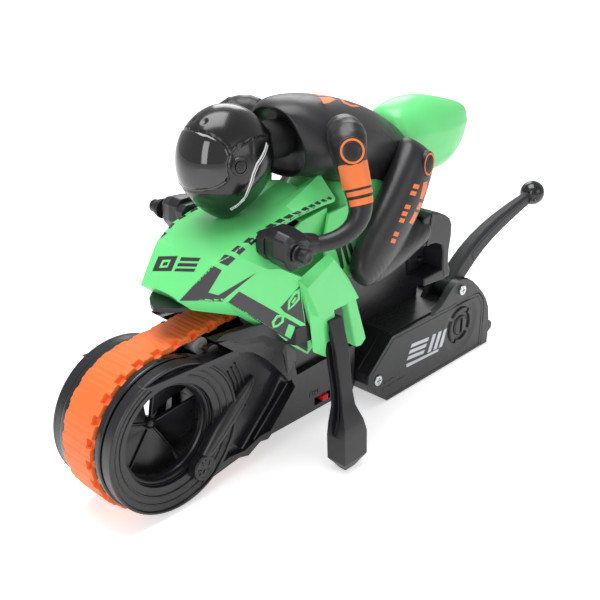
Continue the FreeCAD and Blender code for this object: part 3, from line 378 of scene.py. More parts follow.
GREEN = srgb(106, 224, 130)
M = {
    "green": moulded("green_satin_moulding", GREEN, 0.36, 0.25, 1600, 0.035, 0.05, coat=0.25, coat_rough=0.22, subsurface=0.05, wave=0.5),
    "frame": moulded("black_satin_moulding", srgb(32, 32, 35), 0.36, 0.20, 2600, 0.10, 0.08, scuff=0.004),
    "plate": moulded("black_side_moulding", srgb(28, 28, 31), 0.30, 0.10, 2200, 0.10, 0.08, coat=0.15, coat_rough=0.3, scuff=0.004),
    "hoop": moulded("black_gloss_ring", srgb(22, 22, 25), 0.18, 0.15, 1500, 0.08, 0.05, coat=0.4, coat_rough=0.12),
    "suit": moulded("black_suit_paint", srgb(31, 30, 33), 0.37, 0.2, 2400, 0.10, 0.07, sheen=0.03),
    "helmet": moulded("black_helmet_gloss", srgb(10, 10, 12), 0.24, 0.06, 900, 0.10, 0.03, coat=0.35, coat_rough=0.12, fine=3000),
    "visor": moulded("smoke_visor_gloss", srgb(9, 9, 12), 0.07, 0.05, 900, 0.10, 0.02, coat=1.0, coat_rough=0.03, fine=3000),
    "glove": moulded("black_glove_moulding", srgb(30, 30, 33), 0.34, 0.25, 2600, 0.10, 0.07),
    "orange_rubber": moulded("orange_belt_rubber", srgb(247, 116, 50), 0.52, 0.7, 1500, 0.05, 0.07, subsurface=0.04, wave=0.6),
    "orange_paint": moulded("orange_suit_paint", srgb(238, 122, 58), 0.42, 0.35, 2400, 0.05, 0.06),
    "black_print": moulded("black_printed_graphic", srgb(48, 46, 50), 0.34, 0.2, 1600, 0.08, 0.05, coat=0.2, coat_rough=0.25),
    "white_print": moulded("white_printed_graphic", srgb(226, 228, 230), 0.3, 0.12, 1600, 0.05, 0.05),
    "silver_print": moulded("silver_printed_graphic", srgb(196, 198, 204), 0.34, 0.15, 1600, 0.08, 0.06, metal=0.35),
    "lever": moulded("black_lever_texture", srgb(34, 34, 37), 0.50, 1.0, 3600, 0.12, 0.07),
    "ball": moulded("black_ball_gloss", srgb(20, 20, 23), 0.19, 0.2, 1600, 0.10, 0.04, coat=0.3, coat_rough=0.12),
    "steel": moulded("plated_screw_steel", srgb(205, 206, 210), 0.24, 0.3, 2600, 0.08, 0.08, metal=1.0),
    "gear": moulded("natural_acetal", srgb(205, 208, 208), 0.36, 0.3, 1800, 0.04, 0.06, subsurface=0.05),
    "can": moulded("drawn_motor_can", srgb(150, 152, 158), 0.30, 0.4, 2400, 0.08, 0.08, metal=1.0),
    "tyre": moulded("black_tyre_rubber", srgb(24, 24, 25), 0.62, 1.0, 1800, 0.12, 0.08),
    "red": moulded("red_switch_moulding", srgb(214, 28, 26), 0.34, 0.3, 1800, 0.05, 0.06),
    "board": moulded("green_circuit_board", srgb(26, 92, 48), 0.35, 0.5, 1500, 0.15, 0.08, coat=0.3),
    "cell": moulded("printed_cell_sleeve", srgb(70, 86, 110), 0.28, 0.15, 1500, 0.10, 0.05, coat=0.4),
    "brass": moulded("nickel_contacts", srgb(196, 190, 172), 0.30, 0.3, 2400, 0.08, 0.08, metal=1.0),
}
# ------------------------------------------------------------------ tread belt
BR, BR2, SX, SZ = 37.5, 17.0, -78.0, 28.0


def belt_line(r1, r2, n):
    """points, outward normals and arc lengths round both wheels"""
    d = math.hypot(SX, SZ)
    base = math.atan2(SZ, SX)
    k = math.acos((r1 - r2) / d)
    a_up, a_lo = base - k, base + k
    segs = [("line", (r1 * math.cos(a_up), r1 * math.sin(a_up)), (SX + r2 * math.cos(a_up), SZ + r2 * math.sin(a_up)), a_up),
            ("arc", (SX, SZ), r2, a_up, a_lo),
            ("line", (SX + r2 * math.cos(a_lo), SZ + r2 * math.sin(a_lo)), (r1 * math.cos(a_lo), r1 * math.sin(a_lo)), a_lo),
            ("arc", (0.0, 0.0), r1, a_lo, a_up + 2 * math.pi)]
    lens = [math.hypot(s[2][0] - s[1][0], s[2][1] - s[1][1]) if s[0] == "line" else s[2] * (s[4] - s[3]) for s in segs]
    total = sum(lens)
    out = []
    for i in range(n):
        t = total * i / n
        for s, l in zip(segs, lens):
            if t <= l:
                break
            t -= l
        f = t / l
        if s[0] == "line":
            out.append((s[1][0] + (s[2][0] - s[1][0]) * f, s[1][1] + (s[2][1] - s[1][1]) * f, s[3]))
        else:
            a = s[3] + (s[4] - s[3]) * f
            out.append((s[1][0] + s[2] * math.cos(a), s[1][1] + s[2] * math.sin(a), a))
    return out, total


def make_belt():
    RIBS, PER = 68, 16
    n = RIBS * PER
    line, total = belt_line(BR, BR2, n)
    ys = [-10.0, -9.86, -9.5, -8.9, -7.6, -7.4, -6.0, -3.0, 0.0, 3.0, 6.0, 7.4, 7.6, 8.9, 9.5, 9.86, 10.0]
    m = len(ys)
    verts, faces = [], []
    sm = lambda t: t * t * (3 - 2 * t)
    for i, (x, z, a) in enumerate(line):
        ph = (i % PER) / PER
        # a broad flat rib with a soft shoulder, then a shallow valley
        h = -0.10 * math.sin(math.pi * min(1, ph / 0.5)) if ph < 0.5 else 0.0
        if ph >= 0.52:
            h = -0.25 * sm(min(1, (ph - 0.52) / 0.10, (1.0 - ph) / 0.16))
        # dog-tooth notches along the edges
        nt = 0.0
        q = (i % (2 * PER)) / PER
        if 0.42 < q < 1.34:
            nt = sm(min(1, (q - 0.42) / 0.05, (1.34 - q) / 0.16))
        for y in ys:
            e = abs(y)
            d = h
            if e > 7.4:
                d -= nt * (2.3 if y > 0 else 0.5) * sm(min(1, (e - 7.4) / 0.2))
            if e > 9.4:
                d -= 0.35 * ((e - 9.4) / 0.6) ** 2
            verts.append((x + math.cos(a) * d, y, z + math.sin(a) * d))
    inner = []
    for i, (x, z, a) in enumerate(line):
        for y in (10.0, -10.0):
            d = -2.7
            verts.append((x + math.cos(a) * d, y, z + math.sin(a) * d))
    o2 = n * m
    for i in range(n):
        j = (i + 1) % n
        for k in range(m - 1):
            faces.append((i * m + k, j * m + k, j * m + k + 1, i * m + k + 1))
        faces.append((i * m + m - 1, j * m + m - 1, o2 + j * 2, o2 + i * 2))
        faces.append((o2 + i * 2, o2 + j * 2, o2 + j * 2 + 1, o2 + i * 2 + 1))
        faces.append((o2 + i * 2 + 1, o2 + j * 2 + 1, j * m, i * m))
    ob = raw("tread_belt_ribbed", verts, faces)
    normals_out(ob)
    # inner drive lugs
    lugs = []
    nl = int(round(total / 11.8))
    for q in range(nl):
        x, z, a = line[int(q * n / nl) % n]
        t = (-math.sin(a), math.cos(a))
        r = (math.cos(a), math.sin(a))
        P = lambda s, d, y: (x + t[0] * s + r[0] * d, y, z + t[1] * s + r[1] * d)
        ring = [(-3.4, -2.6), (3.4, -2.6), (2.7, -3.85), (-2.7, -3.85)]
        lugs.append(loftm("lug", [[P(s, d, y) for s, d in ring] for y in (-9.6, 9.6)]))
    lug = join(lugs, "tread_belt_lugs")
    finish_hard(lug, 0.2, 1)
    ob = join([ob, lug], "tread_belt_ribbed")
    smooth_by(ob, 42)
    put(ob, "chassis", M["orange_rubber"], ("tread_belt",))
    return ob


make_belt()


# ------------------------------------------------------------------ front wheel
def make_wheel():
    for side, s in (("left", 1), ("right", -1)):
        # side hoop: bright outer edge, flat land, groove behind the plate's lip
        prof = [(27.0, 10.65), (35.2, 10.65), (35.75, 10.9), (35.9, 11.3), (35.9, 13.4), (35.75, 13.95), (35.35, 14.3), (34.6, 14.4),
                (34.2, 14.2), (33.9, 13.2), (33.4, 13.0), (28.4, 13.0), (28.0, 13.4), (27.0, 13.4)]
        ob = lathe("hoop_" + side, [(r, s * y) for r, y in prof], seg=192)
        finish_hard(ob, 0.12, 2, 20)
        put(ob, "front_wheel", M["hoop"], ("rim_hoop_" + side,))
    # drum with rounded edges and shallow grip grooves
    prof = [(27.05, -10.5), (32.4, -10.5), (33.0, -10.1), (33.2, -9.4)]
    prof += [(33.2 - (0.35 if k % 2 else 0.0), -8.4 + k * 1.4) for k in range(13)]
    prof += [(33.2, 9.4), (33.0, 10.1), (32.4, 10.5), (27.05, 10.5)]
    ob = lathe("front_drum_turned", prof, seg=144)
    finish_hard(ob, 0.08, 1, 24)
    put(ob, "front_wheel", M["frame"], ("front_drum",))
    # lining with small slots, and five wide creased blades that meet in a star
    parts = []
    lining = lathe("lining", [(26.95, -8.4), (26.95, 8.4), (25.5, 8.4), (24.7, 7.6), (24.6, 6.6), (24.6, -6.6), (24.7, -7.6), (25.5, -8.4)], seg=160)
    cut = []
    for k in range(30):
        a = 2 * math.pi * (k + 0.5) / 30
        u, v = (math.cos(a), math.sin(a)), (-math.sin(a), math.cos(a))
        for y0, y1 in ((2.6, 5.8), (-5.8, -2.6)):
            q = [(24.0, -0.28), (25.2, -0.28), (25.2, 0.28), (24.0, 0.28)]
            cut.append(prism("c", [(r * u[0] + w * v[0], r * u[1] + w * v[1]) for r, w in q], y0, y1))
    lining = boolean(lining, join(cut, "slots"))
    finish_hard(lining, 0.1, 1, 25)
    parts.append(lining)
    for k in range(5):
        a0 = math.radians(72 * k + 20)
        rows = []
        NR = 16
        for i in range(NR):
            t = i / (NR - 1)
            r = 0.6 + 24.2 * t
            top, bot = [], []
            NW = 9
            for j in range(NW):
                w = j / (NW - 1)
                a = a0 + math.radians(66) * w + 0.16 * t * t
                # leading edge forward, trailing edge back, with a crease down the middle
                y = (3.6 - 7.2 * w) * (0.25 + 0.75 * t) + 2.2 * t * (1 - abs(2 * w - 1)) ** 0.8
                y = max(-7.4, min(7.4, y))
                th = 0.55
                top.append((r * math.cos(a), y + th, r * math.sin(a)))
                bot.append((r * math.cos(a), y - th, r * math.sin(a)))
            rows.append(top + bot[::-1])
        b = loftm("blade", rows)
        finish_hard(b, 0.15, 1, 40)
        parts.append(b)
        # stiffening rib along the leading edge
        e = a0 + math.radians(4)
        rib = loftm("rib", [[(r * math.cos(e + da), y0 + dy, r * math.sin(e + da)) for da, dy in ((-0.5 / r, 0), (0.5 / r, 0), (0.35 / r, 1.1), (-0.35 / r, 1.1))]
                            for r, y0 in ((3.0, 1.6), (12.0, 2.6), (24.4, 4.0))])
        finish_hard(rib, 0.12, 1, 30)
        parts.append(rib)
    hub = lathe("hub", [(0.0, 3.9), (0.9, 3.7), (2.4, 2.6), (3.0, 0.0), (2.4, -2.6), (0.9, -3.7), (0.0, -3.9)], seg=40, closed=False)
    parts.append(shade(hub, 50))
    ob = join(parts, "turbine_blades")
    # nothing reaches past the lining
    def trim(bm):
        for v in bm.verts:
            x, z = v.co.x - DX / 1000, v.co.z - DZ / 1000
            r = math.hypot(x, z)
            if r > 0.02695:
                v.co.x, v.co.z = DX / 1000 + x * 0.02695 / r, DZ / 1000 + z * 0.02695 / r
    edit(ob, trim)
    put(ob, "front_wheel", M["plate"], ("turbine_web",))


make_wheel()


# fixed bearing rings inside the bore: two fine steps
def make_bearings():
    out = []
    for s in (1, -1):
        prof = [(26.9, 9.0), (26.9, 15.2), (26.2, 15.2), (26.0, 15.9), (25.3, 15.9), (25.1, 14.9), (24.4, 14.7), (24.2, 15.1), (23.7, 15.1), (23.5, 13.8), (22.9, 13.6), (22.7, 13.9),
                (22.3, 13.9), (22.1, 12.2), (21.6, 11.4), (21.4, 9.6), (21.8, 9.0)]
        o = lathe("bearing", [(r, s * y) for r, y in prof], seg=160)
        finish_hard(o, 0.1, 1, 25)
        out.append(o)
    ob = join(out, "bearing_rings_stepped")
    put(ob, "chassis", M["plate"], ("bearing_rings",))


make_bearings()
# ------------------------------------------------------------------ printed shapes pressed on a surface
def bvh_mm(obs):
    verts, polys = [], []
    for ob in obs:
        o = len(verts)
        verts += [(v.co.x * 1000 - DX, v.co.y * 1000, v.co.z * 1000 - DZ) for v in ob.data.vertices]
        polys += [[o + i for i in p.vertices] for p in ob.data.polygons]
    return BVHTree.FromPolygons(verts, polys)


def inside(p, ring):
    c = False
    n = len(ring)
    for i in range(n):
        (x1, y1), (x2, y2) = ring[i], ring[(i + 1) % n]
        if (y1 > p[1]) != (y2 > p[1]) and p[0] < (x2 - x1) * (p[1] - y1) / (y2 - y1) + x1:
            c = not c
    return c


def press(name, outline, bvh, d=None, lift=0.05, thick=0.10, cell=0.6, holes=(), deep=0.12, reach=25.0, maxjump=4.0):
    """a thin closed solid whose outline (mm, near the surface) is laid on the surface along d"""
    P = [Vector(p) for p in outline]
    c = sum(P, Vector()) / len(P)
    if d is None:
        nrm = Vector()
        for a, b in zip(P, P[1:] + P[:1]):
            nrm += (a - c).cross(b - c)
        nrm.normalize()
        if nrm.dot(Vector((0.65, 0.65, 0.4))) < 0:
            nrm = -nrm
        d = -nrm
    d = Vector(d).normalized()
    u = d.orthogonal().normalized()
    v = d.cross(u)
    flat = lambda pts: [((p - c).dot(u), (p - c).dot(v)) for p in [Vector(q) for q in pts]]

    def dense(q):
        out = []
        for i in range(len(q)):
            a, b = q[i], q[(i + 1) % len(q)]
            n = max(1, int(math.hypot(b[0] - a[0], b[1] - a[1]) / cell + 0.5))
            out += [(a[0] + (b[0] - a[0]) * k / n, a[1] + (b[1] - a[1]) * k / n) for k in range(n)]
        return out
    rings = [dense(flat(outline))] + [dense(flat(h)) for h in holes]
    pts, edges = [], []
    for r in rings:
        o = len(pts)
        pts += [Vector(p) for p in r]
        edges += [(o + i, o + (i + 1) % len(r)) for i in range(len(r))]
    xs, ys = [p[0] for p in rings[0]], [p[1] for p in rings[0]]
    x = min(xs) + cell * 0.5
    row = 0
    while x < max(xs):
        y = min(ys) + cell * (0.5 if row % 2 else 0.95)
        while y < max(ys):
            if inside((x, y), rings[0]) and not any(inside((x, y), h) for h in rings[1:]):
                near = min((p.x - x) ** 2 + (p.y - y) ** 2 for p in pts[:sum(len(r) for r in rings)])
                if near > (0.42 * cell) ** 2:
                    pts.append(Vector((x, y)))
            y += cell
        x += cell * 0.87
        row += 1
    vs, es, fs = delaunay_2d_cdt(pts, edges, [], 0, 1e-6, False)[:3]
    keep = []
    for f in fs:
        m = (sum(vs[i].x for i in f) / 3, sum(vs[i].y for i in f) / 3)
        if inside(m, rings[0]) and not any(inside(m, h) for h in rings[1:]):
            keep.append(list(f))
    hit = {}
    for f in keep:
        for i in f:
            if i not in hit:
                o = c + u * vs[i].x + v * vs[i].y - d * reach
                loc, nr, fi, di = bvh.ray_cast(o, d, reach * 2)
                hit[i] = loc
    good = []
    for f in keep:
        h = [hit[i] for i in f]
        if any(x is None for x in h):
            continue
        t = [x.dot(d) for x in h]
        if max(t) - min(t) > maxjump * cell:
            continue
        good.append(f)
    if not good:
        return None
    used = sorted({i for f in good for i in f})
    ix = {i: k for k, i in enumerate(used)}
    n = len(used)
    verts = [tuple(hit[i] - d * (lift + thick)) for i in used] + [tuple(hit[i] + d * deep) for i in used]
    faces = [[ix[i] for i in f] for f in good] + [[ix[i] + n for i in reversed(f)] for f in good]
    cnt = {}
    for f in good:
        for a, b in zip(f, f[1:] + f[:1]):
            cnt[(a, b)] = cnt.get((a, b), 0) + 1
    for (a, b) in cnt:
        if (b, a) not in cnt:
            faces.append([ix[b], ix[a], ix[a] + n, ix[b] + n])
    ob = raw(name, verts, faces)
    normals_out(ob)
    return ob


def graphics(name, items, bvh, mat, body="chassis", mirror=False, **kw):
    """several printed shapes as one object; each item is an outline or (outline, holes)"""
    obs = []
    for it in items:
        o, h = it if isinstance(it, tuple) else (it, ())
        ob = press("g", o, bvh, holes=h, **kw)
        if ob:
            obs.append(ob)
            if mirror:
                obs.append(mirrored(ob, "gm"))
    if not obs:
        return None
    ob = join(obs, name)
    smooth_by(ob, 35)
    put(ob, body, mat)
    return ob


def stripe(pts, w0, w1=None):
    """outline of a band that follows a 3-D polyline, widened across the direction given by each point's side vector"""
    out, back = [], []
    n = len(pts)
    w1 = w0 if w1 is None else w1
    for i, (p, side) in enumerate(pts):
        w = (w0 + (w1 - w0) * i / (n - 1)) / 2
        out.append(tuple(Vector(p) + Vector(side).normalized() * w))
        back.append(tuple(Vector(p) - Vector(side).normalized() * w))
    return out + back[::-1]
# ------------------------------------------------------------------ fairing shell
def both(polys):
    """near-side polygons and their mirror images"""
    return [list(p) for p in polys] + [[(x, -y, z) for x, y, z in reversed(p)] for p in polys]


def shell(name, polys, thick=1.4, bevel=0.45, deg=14, up=(0, 0, 1), seg=3):
    """a thin moulded shell from flat panels that share corners"""
    idx, verts, faces = {}, [], []
    for p in polys:
        f = []
        for v in p:
            k = (round(v[0], 2), round(v[1], 2), round(v[2], 2))
            if k not in idx:
                idx[k] = len(verts)
                verts.append(v)
            if not f or f[-1] != idx[k]:
                f.append(idx[k])
        if f[0] == f[-1]:
            f.pop()
        if len(f) > 2:
            faces.append(f)
    ob = raw(name, verts, faces)

    def orient(bm):
        bmesh.ops.recalc_face_normals(bm, faces=bm.faces)
        s = sum((f.normal.dot(Vector(up)) * f.calc_area() for f in bm.faces))
        if s < 0:
            bmesh.ops.reverse_faces(bm, faces=bm.faces)
    edit(ob, orient)
    mod(ob, "SOLIDIFY", thickness=thick / 1000, offset=-1, use_even_offset=True, use_quality_normals=True, thickness_clamp=0)
    bake(ob)
    if bevel:
        mod(ob, "BEVEL", width=bevel / 1000, segments=seg, limit_method="ANGLE", angle_limit=math.radians(deg), use_clamp_overlap=True, profile=0.5)
        bake(ob)
    smooth_by(ob, 30)
    mod(ob, "WEIGHTED_NORMAL", keep_sharp=True, weight=70)
    bake(ob)
    return ob


def make_fairing():
    T, N0 = (-11.2, 12.7, 58.8), (-13.0, 0.0, 59.1)
    cols = [
        [(-13.0, 0, 59.1), (-12.7, 4.5, 59.1), (-12.1, 9.0, 59.0), T],
        [(-19.8, 0, 66.4), (-19.7, 6.0, 66.5), (-19.4, 11.5, 66.4), (-18.9, 16.2, 66.2)],
        [(-26.7, 0, 72.9), (-26.6, 7.5, 73.1), (-26.6, 13.5, 73.2), (-26.5, 19.5, 73.2)],
        [(-32.5, 0, 76.9), (-32.5, 8.5, 76.6), (-32.5, 15.0, 76.1), (-32.5, 21.7, 75.3)],
        [(-38.5, 0, 80.3), (-38.5, 9.2, 79.8), (-38.5, 15.6, 79.1), (-38.5, 22.9, 78.2)],
        [(-44.0, 0, 82.6), (-44.0, 9.5, 81.9), (-44.0, 16.0, 80.9), (-43.7, 23.3, 79.4)],
        [(-50.2, 0, 83.6), (-50.2, 9.5, 83.0), (-50.2, 16.0, 82.2), (-50.2, 23.4, 81.2)],
        [(-56.5, 0, 84.4), (-56.5, 9.5, 83.7), (-56.5, 16.0, 83.0), (-56.5, 23.5, 82.3)],
        [(-62.3, 0, 85.6), (-62.3, 9.5, 84.6), (-62.3, 16.0, 84.0), (-62.3, 23.5, 83.3)],
        [(-72.5, 0, 88.6), (-72.5, 9.5, 86.4), (-72.5, 16.0, 86.6), (-72.5, 23.5, 84.4)],
        [(-80.0, 0, 91.2), (-80.0, 9.5, 88.0), (-81.0, 16.0, 90.3), (-82.0, 23.5, 85.5)],
        [(-84.0, 0, 92.4), (-86.0, 9.5, 89.6), (-89.0, 16.0, 94.2), (-90.5, 23.5, 86.2)],
        [(-86.0, 0, 92.8), (-87.5, 8.6, 90.8), (-95.0, 16.0, 97.0), (-97.6, 23.4, 86.2)],
    ]
    polys = []
    for a, b in zip(cols, cols[1:]):
        for k in range(3):
            polys.append([a[k], a[k + 1], b[k + 1], b[k]])
    E = [c[3] for c in cols]                     # outer edge of the upper panel
    C0, SH, ST2, PK, SP, A3 = (-36.0, 23.0, 74.8), (-49.3, 25.7, 73.4), (-53.7, 31.0, 66.1), (-47.7, 29.0, 67.0), (-42.3, 26.5, 66.0), (-29.2, 21.0, 56.4)
    A4, NL, NLC = (-38.6, 19.0, 44.9), (-18.2, 13.0, 52.4), (-19.6, 0.0, 52.2)
    TT, WL = (-64.5, 32.4, 55.7), (-64.2, 33.6, 59.5)
    VC, K1, K2, LR = (-56.0, 29.6, 47.0), (-46.0, 24.2, 42.0), (-60.8, 26.6, 29.6), (-75.4, 28.6, 17.4)
    R1, LC, LE = (-69.1, 31.4, 34.1), (-75.6, 30.0, 19.6), (-75.4, 27.0, 14.9)
    # free lip of the upper panel, standing clear of the bar
    lip = [(-49.7, 23.3, 77.6), (-56.5, 23.2, 79.6), (-62.3, 23.2, 81.0), (-72.5, 23.2, 82.9), (-82.0, 23.2, 83.8), (-90.5, 23.2, 84.4), (-97.2, 23.1, 84.4)]
    for k, l in enumerate(lip[:-1]):
        polys.append([E[6 + k], lip[k], lip[k + 1], E[7 + k]])
    # groove under the panel's edge, then the cheek
    polys += [[E[3], C0, E[4]], [E[4], C0, SH], [E[4], SH, E[5]], [E[5], SH, lip[0]], [E[5], lip[0], E[6]]]
    polys += [[T, A3, E[1]], [E[1], A3, E[2]], [E[2], A3, SP], [E[2], SP, E[3]], [E[3], SP, C0], [C0, SP, PK], [C0, PK, SH], [SH, PK, ST2]]
    # flank: a folded panel down to the skirt
    polys += [[A3, K1, SP], [SP, K1, VC], [SP, VC, PK], [PK, VC, ST2], [ST2, VC, TT], [ST2, TT, WL], [K1, K2, VC], [VC, K2, R1], [VC, R1, TT], [K2, LR, R1], [LR, LC, R1]]
    # under-lip
    polys += [[N0, NLC, NL, T], [T, NL, A4, A3], [A3, A4, K1], [K1, A4, K2], [K2, A4, LE], [K2, LE, LR]]
    polys[-6] = [cols[0][0], NLC, NL, cols[0][3], cols[0][2], cols[0][1]]
    ob = shell("fairing_shell", both(polys))
    # hidden carriers: spars from the shell to the body, so the shell is held
    bits = [ob]
    for sgn in (1, -1):
        o = prism("liner", [(-44.5, 71.5), (-53.0, 70.6), (-62.0, 73.0), (-76.0, 80.0), (-93.0, 82.6), (-95.0, 52.0), (-78.0, 49.0), (-66.0, 48.0), (-54.0, 54.0), (-46.0, 64.0)], *sorted((sgn * 21.0, sgn * 22.4)))
        finish_hard(o, 0.3, 2, 20)
        bits.append(o)
    ob = join(bits, "fairing_shell")
    put(ob, "chassis", M["green"], ("main_fairing",))
    return ob


FAIR = make_fairing()


def make_wing(s):
    out, inn = [(-64.0, 37.0, 55.2), (-84.6, 35.0, 63.1), (-93.5, 36.0, 51.2), (-101.8, 36.0, 38.3), (-72.8, 37.2, 38.3)], \
               [(-62.6, 32.6, 58.6), (-84.4, 30.6, 64.6), (-95.2, 31.0, 51.6), (-103.4, 31.4, 38.6), (-68.8, 32.8, 39.9)]
    parts = []
    up = loftm("w", [out, inn])
    finish_hard(up, 0.5, 3, 15)
    parts.append(up)
    p1o = [(-72.4, 37.1, 41.0), (-82.4, 36.8, 41.0), (-87.8, 37.2, 16.4), (-84.0, 37.4, 13.9), (-79.0, 37.4, 14.6)]
    p1i = [(-68.6, 33.2, 42.0), (-83.0, 32.6, 42.0), (-89.4, 33.0, 17.0), (-83.6, 33.0, 14.6), (-71.5, 33.4, 19.6)]
    p2o = [(-93.6, 35.0, 41.0), (-99.6, 35.0, 41.0), (-108.8, 35.4, 14.2), (-105.0, 35.6, 11.4), (-101.0, 35.4, 12.0)]
    p2i = [(-92.2, 31.8, 41.5), (-100.4, 31.4, 41.5), (-109.4, 31.6, 15.4), (-105.0, 31.6, 12.4), (-97.6, 31.8, 14.6)]
    for n, (a, b) in enumerate(((p1o, p1i), (p2o, p2i))):
        o = loftm("p", [a, b])
        finish_hard(o, 0.9, 3, 15)
        parts.append(o)
    # web from the flank to the wing
    w = loftm("web", [[(-63.2, 31.8, 58.0), (-66.0, 31.8, 58.5), (-80.0, 30.8, 22.0), (-75.8, 30.6, 20.4)], [(-63.6, 34.2, 56.6), (-66.6, 34.6, 57.0), (-79.0, 34.0, 22.6), (-74.6, 33.6, 21.6)]])
    finish_hard(w, 0.35, 2, 15)
    parts.append(w)
    ob = join(parts, "w")
    side = "left" if s > 0 else "right"
    if s < 0:
        m = mirrored(ob, "wing_right_blades")
        bpy.data.objects.remove(ob)
        ob = m
    else:
        ob.name = "wing_left_blades"
    put(ob, "chassis", M["green"], ("side_wing_" + side,))
    return ob


WL, WR = make_wing(1), make_wing(-1)


def make_nose_plate():
    half = [(-7.6, 0.0), (-8.8, 3.6), (-12.2, 8.6), (-15.8, 11.6), (-24.0, 12.4), (-24.0, 0.0)]
    pts = half[:-1] + [(x, -y) for x, y in reversed(half[:-1])][:-1]
    z = lambda x: 53.6 + 0.10 * (-8 - x)
    top = [(x, y, z(x)) for x, y in pts]
    bot = [(x, y, z(x) - 2.4) for x, y in pts]
    ob = loftm("nose_plate_edge", [top, bot])
    finish_hard(ob, 0.5, 2, 20)
    put(ob, "chassis", M["frame"], ("nose_plate",))


make_nose_plate()
# ------------------------------------------------------------------ rider: shared sculpting tools
def tube(name, pts, radii, n=14, squash=None, levels=1, caps=True):
    """limb through points; radii may be (a, b): a along the bend plane, b across it"""
    P = [Vector(p) for p in pts]
    secs = []
    prev = None
    for i, p in enumerate(P):
        d = (P[min(i + 1, len(P) - 1)] - P[max(i - 1, 0)]).normalized()
        u = Vector((0, 1, 0)) - d * d.y
        if u.length < 0.25:
            u = Vector((1, 0, 0)) - d * d.x
        u.normalize()
        if prev is not None and u.dot(prev) < 0:
            u = -u
        prev = u
        w = d.cross(u)
        r = radii[i]
        a, b = (r, r) if not isinstance(r, tuple) else r
        secs.append([tuple(p + u * (b * math.cos(2 * math.pi * k / n)) + w * (a * math.sin(2 * math.pi * k / n))) for k in range(n)])
    ob = loftm(name, secs)
    if levels:
        sub(ob, levels)
    return ob


def fuse(obs, name, voxel=0.7, smooth=6, factor=0.5):
    """blends overlapping closed pieces into one skin"""
    ob = join(obs, name)
    mod(ob, "REMESH", mode="VOXEL", voxel_size=voxel / 1000, use_smooth_shade=True)
    bake(ob)
    if smooth:
        mod(ob, "SMOOTH", factor=factor, iterations=smooth)
        bake(ob)
    return ob


def mm(ob):
    co = np.empty(len(ob.data.vertices) * 3)
    ob.data.vertices.foreach_get("co", co)
    co = co.reshape(-1, 3) * 1000
    co[:, 0] -= DX
    co[:, 2] -= DZ
    return co


def set_mm(ob, co):
    c = co.copy()
    c[:, 0] += DX
    c[:, 2] += DZ
    ob.data.vertices.foreach_set("co", (c / 1000).ravel())
    ob.data.update()


def vnormals(ob):
    n = np.empty(len(ob.data.vertices) * 3)
    ob.data.vertices.foreach_get("normal", n)
    return n.reshape(-1, 3)


def seg_dist(P, line):
    """distance of every point in P to a polyline"""
    best = np.full(len(P), 1e9)
    for a, b in zip(line, line[1:]):
        a, b = np.array(a, float), np.array(b, float)
        ab = b - a
        t = np.clip(((P - a) @ ab) / max(1e-9, ab @ ab), 0, 1)
        d = np.linalg.norm(P - (a + t[:, None] * ab), axis=1)
        best = np.minimum(best, d)
    return best


def groove(ob, lines, width=0.5, depth=0.35, ridge=0.0):
    """a pressed seam along polylines near the surface (negative depth raises it)"""
    P, nr = mm(ob), vnormals(ob)
    for line in lines:
        d = seg_dist(P, line)
        k = np.exp(-(d / width) ** 2) * depth
        if ridge:
            k -= ridge * np.exp(-((d - 1.9 * width) / (0.8 * width)) ** 2)
        P -= nr * k[:, None]
    set_mm(ob, P)
    return ob


def folds(ob, centre, radius, along, pitch, amp, turn=0.6):
    """soft creases in cloth round a joint"""
    P, nr = mm(ob), vnormals(ob)
    c, a = np.array(centre, float), np.array(along, float)
    a /= np.linalg.norm(a)
    q = P - c
    w = np.exp(-(np.linalg.norm(q, axis=1) / radius) ** 2)
    s = q @ a + turn * np.sin(q[:, 1] * 0.45 + q[:, 2] * 0.2)
    P += nr * (w * amp * (np.abs(np.sin(math.pi * s / pitch)) - 0.6))[:, None]
    set_mm(ob, P)
    return ob


def soft(ob, deg=50):
    return smooth_by(ob, deg)


